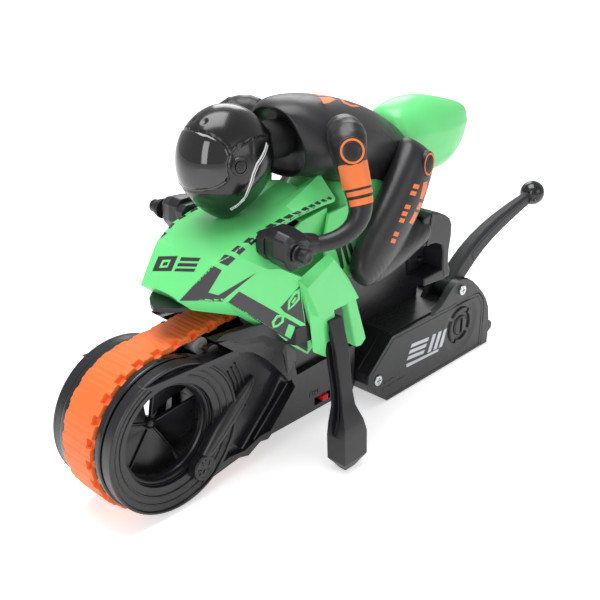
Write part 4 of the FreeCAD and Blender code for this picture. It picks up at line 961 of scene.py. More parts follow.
# ------------------------------------------------------------------ torso
def make_torso():
    S = [[(-78, 0, 128.5), (-78, 7, 128), (-79, 13, 124.5), (-81, 16.5, 116), (-83.5, 18.5, 108), (-84.5, 15, 100.5), (-84, 12, 96), (-83.5, 0, 94.5)],
         [(-86, 0, 132.4), (-86, 9, 131.2), (-88, 18, 127), (-88, 25, 119.5), (-88, 27, 112), (-89, 24, 104), (-90, 17, 97), (-90, 0, 93)],
         [(-100, 0, 131.6), (-100, 10, 130), (-100, 20, 125.5), (-99, 28, 119), (-99, 31, 111), (-99, 28, 102), (-100, 20, 94), (-100, 0, 91)],
         [(-115, 0, 128.6), (-115, 10, 127), (-115, 20, 122), (-114, 27, 115), (-113, 29.5, 107), (-112, 26, 97), (-112, 18, 89), (-112, 0, 86)],
         [(-130, 0, 124.2), (-130, 10, 122.5), (-130, 18, 118), (-129, 24, 111), (-128, 26, 103), (-126, 23, 93), (-124, 16, 84), (-124, 0, 80)],
         [(-145, 0, 118.2), (-145, 9, 116.5), (-144, 16, 112), (-143, 21.5, 105), (-141, 23, 97), (-138, 21, 87), (-135, 15, 77), (-134, 0, 73)],
         [(-158, 0, 111), (-158, 8, 109.5), (-157, 14.5, 105.5), (-155, 20, 99), (-152, 22, 91), (-148, 20, 81), (-145, 14, 71), (-144, 0, 67)],
         [(-171, 0, 101), (-171, 7, 100), (-169, 13, 96.5), (-166, 18, 91), (-162, 20, 84), (-157, 18, 75), (-153, 12, 66), (-152, 0, 62)],
         [(-181, 0, 88), (-181, 6, 87.5), (-179, 11, 85), (-176, 15, 80.5), (-172, 16, 75), (-167, 14, 68), (-162, 9, 62), (-161, 0, 60)]]
    rings = [s + [(x, -y, z) for x, y, z in reversed(s[1:-1])] for s in S]
    # hollow chest opening: the edge is turned in and a dark floor lies behind it
    e = rings[0]
    cx, cz = -82.0, 112.0
    lip = [(x - 0.6, y * 0.93, cz + (z - cz) * 0.94) for x, y, z in e]
    floor = [(x - 8.0, y * 0.88, cz + (z - cz) * 0.9) for x, y, z in e]
    body = loftm("torso", [floor, lip, e] + rings[1:])
    n = len(e)
    # tight edge rows keep the collar crisp when the skin is rounded
    mod(body, "SUBSURF", levels=3, render_levels=3)
    bake(body)
    neck = tube("neck", [(-92, 0, 112), (-80, 0, 113), (-70, 0, 113.5), (-60, 0, 113)], [9.5, 9.0, 9.0, 9.0], n=20, levels=1)
    collar = lathe("collar", [(11.6, -2.2), (12.8, -2.2), (13.3, -1.4), (13.3, 1.4), (12.8, 2.2), (11.6, 2.2)], seg=48)
    # the collar ring is turned to stand round the neck
    def swing(bm):
        for v in bm.verts:
            x, y, z = v.co.x * 1000 - DX, v.co.y * 1000, v.co.z * 1000 - DZ
            v.co = W((-79.5 + y, x, 113.2 + z))
    edit(collar, swing)
    normals_out(collar)
    sub(collar, 1)
    ob = join([body], "rider_torso_suit")
    for s in (1, -1):
        groove(ob, [[(-100, 13 * s, 128.4), (-95, 20 * s, 125.6), (-90, 25.5 * s, 121), (-85, 27.6 * s, 114.5)]], 0.55, 0.45, 0.12)
        groove(ob, [[(-107, 28 * s, 116.5), (-122, 25 * s, 113), (-136, 22 * s, 109), (-142, 22 * s, 104), (-139, 22 * s, 95)]], 0.55, 0.5, 0.14)
        groove(ob, [[(-79.5, 12 * s, 126), (-87, 20 * s, 117), (-89, 23 * s, 108), (-88, 17 * s, 98)]], 0.5, 0.3, 0.1)
        groove(ob, [[(-112, 27 * s, 99), (-125, 24 * s, 95), (-134, 23 * s, 88)]], 0.5, 0.3)
        folds(ob, (-137, 21 * s, 92), 13, (0.7, 0, -0.7), 4.6, 0.28)
    # back hump with its seam, centre line
    groove(ob, [[(-92, 0, 133), (-110, 0, 130.5), (-130, 0, 124.5), (-150, 0, 116)]], 0.5, 0.25)
    groove(ob, [[(-146, -18, 108), (-150, -9, 114.5), (-152, 0, 115), (-150, 9, 114.5), (-146, 18, 108)]], 0.6, 0.35, 0.1)
    bpy.data.objects.remove(collar)
    ob2 = ob
    soft(ob2, 60)
    neck.name = "rider_neck_sleeve"
    folds(neck, (-75, 0, 113), 14, (1, 0, 0), 3.0, 0.3)
    soft(neck, 60)
    # the neck takes the dark, matt tyre rubber instead of the suit: painted shade for the shaded hollow between the
    # helmet's back edge and the chest
    put(neck, "chassis", M["tyre"])
    put(ob2, "chassis", M["suit"], ("rider_torso",))
    return ob2


TORSO = make_torso()


# ------------------------------------------------------------------ arms with shoulder disc and coloured sleeve
ARM = [(-97, 28.0, 117.5), (-91.5, 35.5, 117.5), (-87.4, 38.6, 115.4), (-86.0, 40.6, 111.5), (-85.9, 43.0, 106.0), (-86.1, 45.2, 100.5), (-86.1, 47.0, 96.0),
       (-85.6, 48.6, 91.3), (-84.2, 49.4, 86.8), (-80.6, 49.0, 82.2), (-75.8, 47.6, 79.4), (-71.0, 44.6, 77.4), (-66.0, 41.4, 76.6), (-58.0, 38.4, 77.0)]
ARM_R = [9.0, 9.2, 8.6, 7.8, 7.2, 6.6, 6.1, 5.6, 5.2, 4.7, 4.3, 4.0, 3.9, 3.8]


def make_arm():
    core = tube("arm", ARM, ARM_R, n=16, levels=1)
    cap = tube("cap", [(-99, 24, 116), (-94.5, 31, 120), (-90.5, 37, 119.5), (-87.5, 41.5, 115), (-87, 43, 110)], [8, 8.6, 8.2, 6.6, 5.4], n=16, levels=1)
    ob = fuse([core, cap], "arm", 0.6, 5)
    groove(ob, [[(-84, 29, 124), (-92, 33, 127), (-99, 38, 119), (-98, 36, 108)]], 0.5, 0.3, 0.1)
    folds(ob, (-84.5, 46, 87), 6.5, (0.3, 0, 1), 2.6, 0.22)
    folds(ob, (-78, 44, 80), 6, (1, 0, -0.2), 2.8, 0.18)
    # flat seat for the disc: its offset is scaled by zero, so the skin stays as it is
    P = mm(ob)
    c, a = np.array((-84.6, 43.2, 114.4)), np.array((0.42, 0.86, 0.28))
    a /= np.linalg.norm(a)
    q = P - c
    h = q @ a
    rad = np.linalg.norm(q - h[:, None] * a, axis=1)
    m = (rad < 7.2) & (h > -6)
    P[m] += a * np.where(rad[m] < 6.4, np.minimum(0.9, 0.9 - h[m] * 0 - (h[m] - 0.0)), (0 - h[m]) * (7.2 - rad[m]) / 0.8)[:, None] * 0.0
    set_mm(ob, P)
    return ob


arm = make_arm()
armR = mirrored(arm, "rider_arm_right_suit")
arm.name = "rider_arm_left_suit"
for o, nd in ((arm, "rider_arm_left"), (armR, "rider_arm_right")):
    soft(o, 60)
    put(o, "chassis", M["suit"], (nd,))


def disc_at(c, a, r, name, rim=0.9, h=1.0, oval=1.0, updir=(0, 0, 1)):
    """a raised button with a coloured ring round it: returns the button and the ring"""
    c, a = Vector(c), Vector(a).normalized()
    u = (Vector(updir) - a * a.dot(Vector(updir))).normalized()
    v = a.cross(u)
    def ringp(rr, hh, n=64):
        return [tuple(c + a * hh + u * (rr * math.cos(2 * math.pi * k / n)) + v * (rr * oval * math.sin(2 * math.pi * k / n))) for k in range(n)]
    button = loftm(name, [ringp(r + 1.1, -5), ringp(r + 1.1, h - 0.55), ringp(r + 0.85, h - 0.15), ringp(r + 0.45, h), ringp(r - rim + 0.15, h), ringp(r - rim, h - 0.05), ringp(r - rim - 0.25, h + 0.1), ringp(r * 0.55, h + 0.35), ringp(r * 0.25, h + 0.42)])
    band = loftm(name + "_ring", [ringp(r + 0.35, h - 0.4), ringp(r + 0.35, h + 0.09), ringp(r + 0.25, h + 0.13), ringp(r - rim + 0.45, h + 0.13), ringp(r - rim + 0.32, h + 0.08), ringp(r - rim + 0.32, h - 0.4)], closed=True)
    smooth_by(button, 35)
    smooth_by(band, 35)
    return button, band


def both_sides(ob, name):
    m = mirrored(ob, "m")
    j = join([ob, m], name)
    return j


# ------------------------------------------------------------------ legs and boots
def make_leg():
    def ring(c, top, low, b, n=16, y0=None):
        """oval with its long axis from top to low in the XZ plane, half width b across"""
        c = Vector(c)
        t, l = Vector((top[0], 0, top[1])), Vector((low[0], 0, low[1]))
        mid = (t + l) / 2
        h = (t - l) / 2
        out = []
        for k in range(n):
            a = 2 * math.pi * k / n
            p = mid + h * math.cos(a)
            out.append((p.x, c.y + b * (abs(math.sin(a)) ** 0.85) * (1 if math.sin(a) >= 0 else -1), p.z))
        return out
    thigh = loftm("thigh", [
        ring((0, 22, 0), (-152, 106), (-172, 92), 6.0), ring((0, 25, 0), (-148, 105.5), (-167, 90), 8.0), ring((0, 27.0, 0), (-144, 103.5), (-163, 85), 8.6),
        ring((0, 28.5, 0), (-137, 96.5), (-157.5, 77.5), 8.9), ring((0, 30.0, 0), (-128, 87.5), (-150.5, 68.5), 8.9), ring((0, 31.5, 0), (-119, 79.5), (-141, 60), 8.6),
        ring((0, 32.6, 0), (-110, 71.0), (-130, 51.5), 8.0), ring((0, 33.4, 0), (-103, 62.5), (-119, 44.5), 7.2), ring((0, 34.0, 0), (-99.5, 55.5), (-110, 42.0), 6.2),
        ring((0, 34.4, 0), (-99.4, 50.5), (-105, 42.2), 4.6)])
    calf = loftm("calf", [
        ring((0, 33.6, 0), (-101, 52), (-104.6, 43.0), 5.4), ring((0, 31.4, 0), (-113, 59), (-115, 39.4), 8.0), ring((0, 29.6, 0), (-126, 61), (-127, 41.0), 9.4),
        ring((0, 28.8, 0), (-140, 63.5), (-140, 44.4), 9.6), ring((0, 28.6, 0), (-152, 65.5), (-151, 48.0), 9.2), ring((0, 28.6, 0), (-162, 66.0), (-160, 50.0), 8.4)])
    for o in (thigh, calf):
        sub(o, 1)
    ob = fuse([thigh, calf], "leg", 0.7, 5)
    groove(ob, [[(-150, 22, 103), (-137, 24, 94.7), (-117, 24, 65)]], 0.6, 0.3, 0.1)
    groove(ob, [[(-146, 33, 102), (-136, 36.5, 93.6), (-120, 39, 79.5), (-106, 40.2, 63)]], 0.7, -0.35)
    groove(ob, [[(-158, 36, 80), (-146, 39, 66), (-128, 40, 53), (-108, 39.5, 44)]], 0.5, 0.32, 0.1)
    groove(ob, [[(-112, 40, 66), (-122, 41, 58), (-133, 40.4, 52), (-150, 38.4, 52)]], 0.5, 0.28, 0.08)
    groove(ob, [[(-166, 22, 60), (-167, 30, 62), (-168, 36, 57), (-166, 35.6, 49), (-164, 29, 45)]], 0.5, 0.35, 0.1)
    folds(ob, (-112, 36, 47), 10, (1, 0, -0.5), 3.2, 0.25)
    folds(ob, (-146, 36, 66), 9, (0.6, 0, 0.8), 3.4, 0.25)
    folds(ob, (-160, 30, 98), 9, (0.7, 0, 0.6), 3.8, 0.22)
    return ob


leg = make_leg()
legR = mirrored(leg, "rider_leg_right_suit")
leg.name = "rider_leg_left_suit"
for o, nd in ((leg, "rider_leg_left"), (legR, "rider_leg_right")):
    soft(o, 60)
    put(o, "chassis", M["suit"], (nd,))


def on_skin(ob, p, a):
    """where the line through p along a meets the outside of a surface"""
    a = Vector(a).normalized()
    hit = bvh_mm([ob]).ray_cast(Vector(p) + a * 30, -a, 60)[0]
    return tuple(hit)


SH_A, HIP_A = (0.55, 0.78, 0.30), (0.05, 0.99, 0.10)
b1, r1 = disc_at(on_skin(arm, (-85.2, 41.6, 113.6), SH_A), SH_A, 5.0, "shoulder_discs", h=0.4)
b2, r2 = disc_at(on_skin(leg, (-152.2, 33.0, 93.6), HIP_A), HIP_A, 5.2, "hip_discs", h=1.2, updir=(-0.25, 0, 1), oval=0.66)
discs = both_sides(join([b1, b2], "d"), "suit_discs")
smooth_by(discs, 35)
put(discs, "chassis", M["suit"])
rings = both_sides(join([r1, r2], "d"), "suit_disc_rings")
smooth_by(rings, 35)
put(rings, "chassis", M["orange_paint"])



def make_boot():
    def ring(y, pts):
        return [(x, yy, z) for x, yy, z in pts]
    # shaft and foot as one rounded block, with a sole and a cuff
    upper = [(-152.0, 65.6), (-158.0, 67.0), (-164.0, 66.2), (-171.0, 63.0), (-175.4, 60.0), (-177.6, 56.4), (-177.8, 50.0), (-176.6, 42.0), (-176.8, 34.4), (-178.8, 29.4), (-178.2, 27.2), (-173.4, 27.2), (-171.6, 33.0),
             (-171.2, 42.0), (-169.6, 46.6), (-164.0, 49.4), (-153.0, 50.0)]
    body = prism("boot", upper, 20.4, 35.4)
    finish_hard(body, 1.5, 4, 14)
    # inner wall closing the hollow ankle, with moulded studs
    wall = prism("wall", [(-157.0, 52.0), (-172.4, 50.0), (-173.8, 28.0), (-166.0, 24.8), (-160.0, 28.0)], 19.6, 22.4)
    finish_hard(wall, 0.6, 2, 20)
    studs = []
    for x, z in ((-168.4, 43.0), (-167.6, 36.0), (-167.0, 30.0)):
        o = lathe("stud", [(0.0, 24.4), (1.2, 24.2), (1.7, 23.4), (1.8, 22.0), (0.0, 22.0)], x, z, seg=24, closed=False)
        studs.append(shade(o, 40))
    toe = loftm("toe", [[(-158, 22.6, 30.6), (-158, 33.6, 30.6), (-158, 33.6, 26.2), (-158, 22.6, 26.2)], [(-173, 21.4, 32.4), (-173, 35.0, 32.4), (-173, 35.0, 26.0), (-173, 21.4, 26.0)],
                        [(-179.6, 21.6, 31.4), (-179.6, 34.6, 31.4), (-179.6, 34.6, 26.4), (-179.6, 21.6, 26.4)]])
    finish_hard(toe, 0.9, 3, 20)
    cuff = prism("cuffline", [(-155.0, 50.2), (-157.2, 50.0), (-160.6, 66.4), (-158.2, 66.8)], 20.0, 35.9)
    finish_hard(cuff, 0.4, 2, 20)
    ob = join([body, wall, toe, cuff] + studs, "boot")
    return ob


boots = both_sides(make_boot(), "rider_boots_soled")
smooth_by(boots, 45)
put(boots, "chassis", M["glove"], ("rider_boots",))


# ------------------------------------------------------------------ hands on the bar
def make_hands():
    # blocky gloved fist: a chamfered block with the knuckles' step, then the cuff
    blk = loftm("fist", [
        [(-46.2, 28.6, 74.6), (-46.2, 28.6, 82.6), (-48.6, 28.6, 85.4), (-57.6, 28.6, 85.4), (-60.4, 28.6, 82.4), (-60.4, 28.6, 72.6), (-57.2, 28.6, 69.4), (-50.0, 28.6, 69.4)],
        [(-45.8, 34.5, 74.4), (-45.8, 34.5, 82.8), (-48.4, 34.5, 85.6), (-57.8, 34.5, 85.4), (-60.8, 34.5, 82.2), (-60.8, 34.5, 72.2), (-57.4, 34.5, 68.8), (-49.6, 34.5, 68.8)],
        [(-46.6, 40.0, 73.6), (-46.6, 40.0, 82.0), (-49.4, 40.0, 84.4), (-58.0, 40.0, 83.8), (-60.6, 40.0, 81.0), (-60.6, 40.0, 71.8), (-57.0, 40.0, 68.0), (-50.4, 40.0, 68.0)],
        [(-48.4, 43.2, 73.8), (-48.4, 43.2, 80.6), (-50.6, 43.2, 82.4), (-57.6, 43.2, 82.0), (-59.6, 43.2, 80.0), (-59.6, 43.2, 73.0), (-57.0, 43.2, 70.4), (-51.6, 43.2, 70.4)]])
    finish_hard(blk, 0.7, 3, 12)
    parts = [blk]
    cuff = tube("cuff", [(-56.5, 37.0, 77.2), (-60.5, 38.6, 77.2), (-64.5, 40.4, 77.0), (-66.0, 41.2, 76.8)], [5.6, 5.4, 4.9, 4.5], n=18, levels=1)
    parts.append(cuff)
    ob = join(parts, "hands")
    groove(ob, [[(-62, 34.0, 82), (-62, 44, 79), (-62, 44.5, 74), (-62, 38, 71)]], 0.4, 0.3)
    return ob


hands = both_sides(make_hands(), "rider_gloves_knuckled")
smooth_by(hands, 42)
put(hands, "chassis", M["glove"], ("rider_gloves",))


def make_bar():
    bar = lathe("bar", [(0.0, -45.5), (2.0, -45.5), (2.0, 45.5), (0.0, 45.5)], -50.0, 77.5, seg=40, closed=False)
    parts = [bar]
    for s in (1, -1):
        # clamp block beside the hand, on the inner side
        c = loftm("clamp", [[(-45.4, s * 24.2, 74.6), (-45.4, s * 24.2, 81.2), (-48.2, s * 24.2, 83.6), (-54.4, s * 24.2, 83.6), (-57.0, s * 24.2, 81.0), (-57.0, s * 24.2, 73.6), (-53.6, s * 24.2, 71.0), (-48.4, s * 24.2, 71.0)],
                            [(-45.4, s * 28.9, 74.6), (-45.4, s * 28.9, 81.2), (-48.2, s * 28.9, 83.6), (-54.4, s * 28.9, 83.6), (-57.0, s * 28.9, 81.0), (-57.0, s * 28.9, 73.6), (-53.6, s * 28.9, 71.0), (-48.4, s * 28.9, 71.0)]])
        finish_hard(c, 0.5, 2, 20)
        parts.append(c)
    ob = join(parts, "handlebar_clamped")
    smooth_by(ob, 40)
    put(ob, "chassis", M["frame"], ("handlebar",))
    ends = []
    for s in (1, -1):
        prof = [(0.0, 42.9), (4.6, 42.9), (4.9, 43.3), (4.9, 44.5), (4.5, 45.0), (3.1, 45.1), (3.0, 46.2), (4.0, 46.4), (4.25, 46.8), (4.25, 47.8), (3.9, 48.2), (2.5, 48.3),
                (2.4, 49.6), (3.0, 49.9), (3.2, 50.3), (3.2, 54.4), (2.8, 55.0), (1.6, 55.2), (1.3, 54.8), (0.0, 54.7)]
        prof = [(r, 42.9 + (y - 42.9) * 0.66) for r, y in prof]
        o = lathe("end", [(r, s * y) for r, y in prof], -50.0, 77.5, seg=48, closed=False)
        finish_hard(o, 0.1, 1, 30)
        ends.append(o)
    ob = join(ends, "bar_ends_stepped")
    put(ob, "chassis", M["glove"], ("bar_ends",))


make_bar()

# ------------------------------------------------------------------ helmet
HC, HR, HT = (-50.5, 0.0, 112.5), (25.5, 20.5, 27.0), math.radians(14)


def helm(th, ph, off=0.0):
    """point of the helmet's outer face: th from the nose toward the left ear, ph up from the brow line (degrees)"""
    def raw_pt(th, ph):
        a, b = math.radians(th), math.radians(ph)
        d = (math.cos(b) * math.cos(a), math.cos(b) * math.sin(a), math.sin(b))
        x, y, z = HR[0] * d[0], HR[1] * d[1], HR[2] * d[2]
        t = max(0.0, (-5 - z) / 22)
        front = max(0.0, math.cos(a))
        y *= 1 - 0.26 * t ** 1.25
        x = x * (1 - 0.10 * t * front) + 1.0 * t
        z -= 2.2 * t * t * front
        # brow line stands a little proud of the chin bar
        return Vector((HC[0] + x * math.cos(HT) + z * math.sin(HT), HC[1] + y, HC[2] - x * math.sin(HT) + z * math.cos(HT)))
    p = raw_pt(th, ph)
    if off:
        e = 0.6
        n = (raw_pt(th + e, ph) - raw_pt(th - e, ph)).cross(raw_pt(th, min(89.5, ph + e)) - raw_pt(th, max(-89.5, ph - e)))
        n.normalize()
        p = p + n * off
    return p


VISOR = [(0, -6.0), (16, -5.9), (31, -5.4), (44, -3.2), (53, 0.2), (57, 4.0), (57.2, 9), (59.4, 17), (64, 24), (62, 33), (53, 42), (38, 49), (20, 53), (0, 54.5)]
VISOR = VISOR + [(-a, b) for a, b in reversed(VISOR[1:-1])]


def ang_dist(th, ph, poly):
    """signed distance (mm on the shell, inside positive) to an outline in angle space"""
    k = math.radians(23.0)
    best = 1e9
    c = math.cos(math.radians(ph))
    n = len(poly)
    for i in range(n):
        (a1, b1), (a2, b2) = poly[i], poly[(i + 1) % n]
        ax, ay, bx, by = (a1 - th) * c, b1 - ph, (a2 - th) * c, b2 - ph
        dx, dy = bx - ax, by - ay
        L = dx * dx + dy * dy
        t = 0 if L == 0 else max(0, min(1, -(ax * dx + ay * dy) / L))
        best = min(best, math.hypot(ax + dx * t, ay + dy * t))
    return best * k * (1 if inside((th, ph), poly) else -1)


def shell_patch(name, poly, off, thick, step=1.6, edge=0.5):
    """a closed skin over an outline in angle space"""
    ring = []
    for i in range(len(poly)):
        (a1, b1), (a2, b2) = poly[i], poly[(i + 1) % len(poly)]
        n = max(1, int(math.hypot(a2 - a1, b2 - b1) / step + 0.5))
        ring += [(a1 + (a2 - a1) * k / n, b1 + (b2 - b1) * k / n) for k in range(n)]
    pts = [Vector(p) for p in ring]
    edges = [(i, (i + 1) % len(ring)) for i in range(len(ring))]
    xs, ys = [p[0] for p in ring], [p[1] for p in ring]
    a = min(xs) + step
    while a < max(xs):
        b = min(ys) + step
        while b < max(ys):
            if inside((a, b), ring) and min((p.x - a) ** 2 + (p.y - b) ** 2 for p in pts[:len(ring)]) > (0.5 * step) ** 2:
                pts.append(Vector((a, b)))
            b += step
        a += step
    vs, es, fs = delaunay_2d_cdt(pts, edges, [], 0, 1e-6, False)[:3]
    keep = [list(f) for f in fs if inside((sum(vs[i].x for i in f) / 3, sum(vs[i].y for i in f) / 3), ring)]
    used = sorted({i for f in keep for i in f})
    ix = {i: k for k, i in enumerate(used)}
    n = len(used)
    top = []
    for i in used:
        d = abs(ang_dist(vs[i].x, vs[i].y, poly)) if edge else 9
        o = off + thick - (edge * 0.5 * max(0, 1 - d / edge) ** 2 if edge else 0)
        top.append(tuple(helm(vs[i].x, vs[i].y, o)))
    verts = top + [tuple(helm(vs[i].x, vs[i].y, off)) for i in used]
    faces = [[ix[i] for i in f] for f in keep] + [[ix[i] + n for i in reversed(f)] for f in keep]
    cnt = {}
    for f in keep:
        for p, q in zip(f, f[1:] + f[:1]):
            cnt[(p, q)] = 1
    for (p, q) in cnt:
        if (q, p) not in cnt:
            faces.append([ix[q], ix[p], ix[p] + n, ix[q] + n])
    ob = raw(name, verts, faces)
    normals_out(ob)
    smooth_by(ob, 40)
    return ob


def make_helmet():
    NT, NP = 168, 96
    verts, faces = [], []
    low = -74.0
    side_ridge = [(64, 24), (71, 26.4), (82, 29.2), (98.5, 29.4), (116, 25), (132, 17)]
    vline = [(99.6, 27.8), (94, 19), (88.5, 9.8)]
    rear = [(118, 13), (92, 5), (77, -13), (72, -27), (53, -40), (30, -50), (0, -54)]
    dd = lambda th, ph, pl: min(math.hypot(*(lambda ax, ay, dx, dy: (ax + dx * max(0, min(1, -(ax * dx + ay * dy) / (dx * dx + dy * dy + 1e-9))), ay + dy * max(0, min(1, -(ax * dx + ay * dy) / (dx * dx + dy * dy + 1e-9)))))((a[0] - th) * math.cos(math.radians(ph)), a[1] - ph, (b[0] - a[0]) * math.cos(math.radians(ph)), b[1] - a[1])) for a, b in zip(pl, pl[1:]))
    for j in range(NP + 1):
        ph = low + (90 - low) * j / NP
        for i in range(NT):
            th = -180 + 360 * i / NT
            off = 0.0
            at = abs(th)
            dv = ang_dist(th, ph, VISOR) if (at < 75 and -16 < ph < 66) else -9
            if dv > -0.9:
                # the visor's seat is sunk, with a fine gap round the lens
                off -= 0.9 * min(1.0, (dv + 0.9) / 0.5)
            # the crown stands proud of the side panel along the ridge
            r = dd(at, ph, side_ridge)
            if r < 4 and at > 60:
                above = ph > np.interp(at, [p[0] for p in side_ridge], [p[1] for p in side_ridge])
                off += 0.45 * math.exp(-(r / 1.6) ** 2) * (1 if above else -0.7)
            off -= 0.35 * math.exp(-(dd(at, ph, vline) / 0.9) ** 2) if at > 80 and ph > 5 else 0
            # chin vents
            if at < 40 and -34 < ph < -14:
                off -= 0.5 * math.exp(-(((at - 20) / 7) ** 2 + ((ph + 22) / 3.2) ** 4))
                off += 0.35 * math.exp(-(((at) / 30) ** 4 + ((ph + 30) / 2.2) ** 2))
            # crown vents and rear lip
            if ph > 50:
                off -= 0.55 * math.exp(-(((at - 24) / 9) ** 2 + ((ph - 66) / 3.2) ** 4))
            if at > 120 and -8 < ph < 34:
                off += 0.9 * math.exp(-(((ph - 14) / 5) ** 2)) * min(1, (at - 120) / 25)
            verts.append(tuple(helm(th, ph, off)))
    for j in range(NP):
        for i in range(NT):
            k = (i + 1) % NT
            faces.append((j * NT + i, j * NT + k, (j + 1) * NT + k, (j + 1) * NT + i))
    # turned-in lower rim and dark inside
    base = len(verts)
    c = sum((Vector(verts[i]) for i in range(NT)), Vector()) / NT
    for f, up in ((0.94, 0.0), (0.90, 1.6)):
        for i in range(NT):
            p = Vector(verts[i])
            q = c + (p - c) * f
            verts.append((q.x, q.y, q.z + up))
    for i in range(NT):
        k = (i + 1) % NT
        faces.append((i, base + i, base + k, k))
        faces.append((base + i, base + NT + i, base + NT + k, base + k))
    faces.append(tuple(base + NT + i for i in range(NT)))
    ob = raw("helmet_shell_gloss", verts, faces)
    edit(ob, lambda bm: bmesh.ops.remove_doubles(bm, verts=bm.verts, dist=1e-5))
    normals_out(ob)
    # smooth shading, creased above 50 degrees
    smooth_by(ob, 50)
    put(ob, "chassis", M["helmet"], ("helmet_shell",))
    lens = shell_patch("helmet_visor_lens", [(a * 0.992, b) for a, b in VISOR], -0.75, 1.25, 1.7, 0.9)
    put(lens, "chassis", M["visor"], ("helmet_visor",))
    # lower lip of the lens with its tab
    lip = shell_patch("visor_lip", [(0, -6.6), (20, -6.5), (33, -6.0), (46, -3.8), (54, -0.6), (52, 0.6), (44, -1.8), (31, -4.0), (16, -4.6), (0, -4.8)] + [(-a, b) for a, b in ((16, -4.6), (31, -4.0), (44, -1.8), (52, 0.6), (54, -0.6), (46, -3.8), (33, -6.0), (20, -6.5))], -0.3, 0.95, 1.6, 0.3)
    put(lip, "chassis", M["visor"])
    # pivot: stepped disc with a screw-driver cross
    discs = []
    for s in (1, -1):
        c = helm(71.8 * s, 9.2)
        n = (helm(71.8 * s, 9.2, 1.0) - c).normalized()
        if n.y * s < 0:
            n = -n
        u = n.orthogonal().normalized()
        v = n.cross(u)
        R = lambda rr, hh, m=56: [tuple(c + n * hh + u * (rr * math.cos(2 * math.pi * k / m)) + v * (rr * math.sin(2 * math.pi * k / m))) for k in range(m)]
        d = loftm("d", [R(4.5, -2.0), R(4.5, 0.25), R(4.2, 0.6), R(3.3, 0.75), R(3.1, 0.35), R(2.7, 0.35), R(2.5, 0.95), R(1.6, 1.05), R(0.5, 1.05)])
        smooth_by(d, 30)
        discs.append(d)
        for k in range(3):
            a = math.pi * k / 3
            e, f = u * math.cos(a) + v * math.sin(a), v * math.cos(a) - u * math.sin(a)
            q = [c + n * 0.95 + e * x + f * y for x, y in ((-1.9, -0.22), (1.9, -0.22), (1.9, 0.22), (-1.9, 0.22))]
            b = loftm("b", [[tuple(p) for p in q], [tuple(p + n * 0.3) for p in q]])
            finish_hard(b, 0.06, 1, 30)
            discs.append(b)
    ob = join(discs, "visor_pivot_discs")
    put(ob, "chassis", M["helmet"], ("visor_pivots",))
    # dark slot beside the pivot
    sl = []
    for s in (1, -1):
        sl.append(shell_patch("s", [(a * s, b) for a, b in ((58.2, 1.6), (60.5, 4.6), (68.0, 15.2), (66.6, 15.6), (59.6, 7.0))], -0.2, 0.32, 1.2, 0))
    ob = join(sl, "visor_side_slots")
    smooth_by(ob, 30)
    put(ob, "chassis", M["black_print"])
    # double stripe along the rear lower edge, and the outlined plates at the chin
    wh = []
    for s in (1, -1):
        for o, w in ((0.0, 2.1), (3.6, 1.0)):
            path = [(120, 15), (106, 9.5), (92, 4.5), (84, -3), (78.5, -12), (75.5, -20), (73, -27), (66, -33), (58, -37)]
            out, inn = [], []
            for i, (a, b) in enumerate(path):
                a2, b2 = path[min(i + 1, len(path) - 1)]
                a0, b0 = path[max(i - 1, 0)]
                t = Vector((a2 - a0, b2 - b0)).normalized()
                nn = Vector((t.y, -t.x))
                # the side of the path away from the face
                f = min(1.0, (i + 0.4) / 1.2) if i < 2 else 1.0
                if i > len(path) - 3:
                    f *= 0.75
                out.append(((a + nn.x * (-o - w)) * s, b + nn.y * (-o - w)))
                inn.append(((a + nn.x * (-o)) * s, b + nn.y * (-o)))
            wh.append(shell_patch("w", out + inn[::-1], 0.02, 0.12, 1.5, 0))
        # plates: outlined slanted bars
        for (a, b, w, h) in ((56, -39.0, 9.0, 4.6), (70, -33.0, 7.5, 4.2)):
            ax, up = Vector((0.94, 0.34)), Vector((-0.42, 0.91))
            q = lambda fx, fy: ((a + ax.x * fx + up.x * fy) * s, b + ax.y * fx + up.y * fy)
            for y0 in (-h / 2, h / 2 - 0.9):
                wh.append(shell_patch("w", [q(-w / 2, y0), q(w / 2, y0), q(w / 2, y0 + 0.9), q(-w / 2, y0 + 0.9)], 0.03, 0.14, 1.2, 0))
            for x0 in (-w / 2, w / 2 - 1.1):
                wh.append(shell_patch("w", [q(x0, -h / 2 + 0.85), q(x0 + 1.1, -h / 2 + 0.85), q(x0 + 1.1, h / 2 - 0.85), q(x0, h / 2 - 0.85)], 0.03, 0.14, 1.2, 0))
            wh.append(shell_patch("w", [q(-w * 0.24, -0.45), q(w * 0.24, -0.45), q(w * 0.24, 0.45), q(-w * 0.24, 0.45)], 0.03, 0.14, 1.2, 0))
    ob = join(wh, "helmet_stripes")
    smooth_by(ob, 30)
    put(ob, "chassis", M["white_print"])


make_helmet()
# ------------------------------------------------------------------ chassis side plates with their raised detail
def copy_of(node, width=0.25, seg=2, deg=25):
    """a softened copy of a CAD node's shape, not yet placed"""
    me = NODES[node].data.copy()
    me.materials.clear()
    ob = bpy.data.objects.new(node + "_c", me)
    COL.objects.link(ob)

    def tidy(bm):
        bmesh.ops.remove_doubles(bm, verts=bm.verts, dist=2e-6)
        bmesh.ops.dissolve_limit(bm, angle_limit=math.radians(0.6), verts=bm.verts, edges=bm.edges)
        bmesh.ops.recalc_face_normals(bm, faces=bm.faces)
    edit(ob, tidy)
    if me.attributes.get("custom_normal"):
        me.attributes.remove(me.attributes["custom_normal"])
    finish_hard(ob, width, seg, deg, merge=0.001)
    return ob


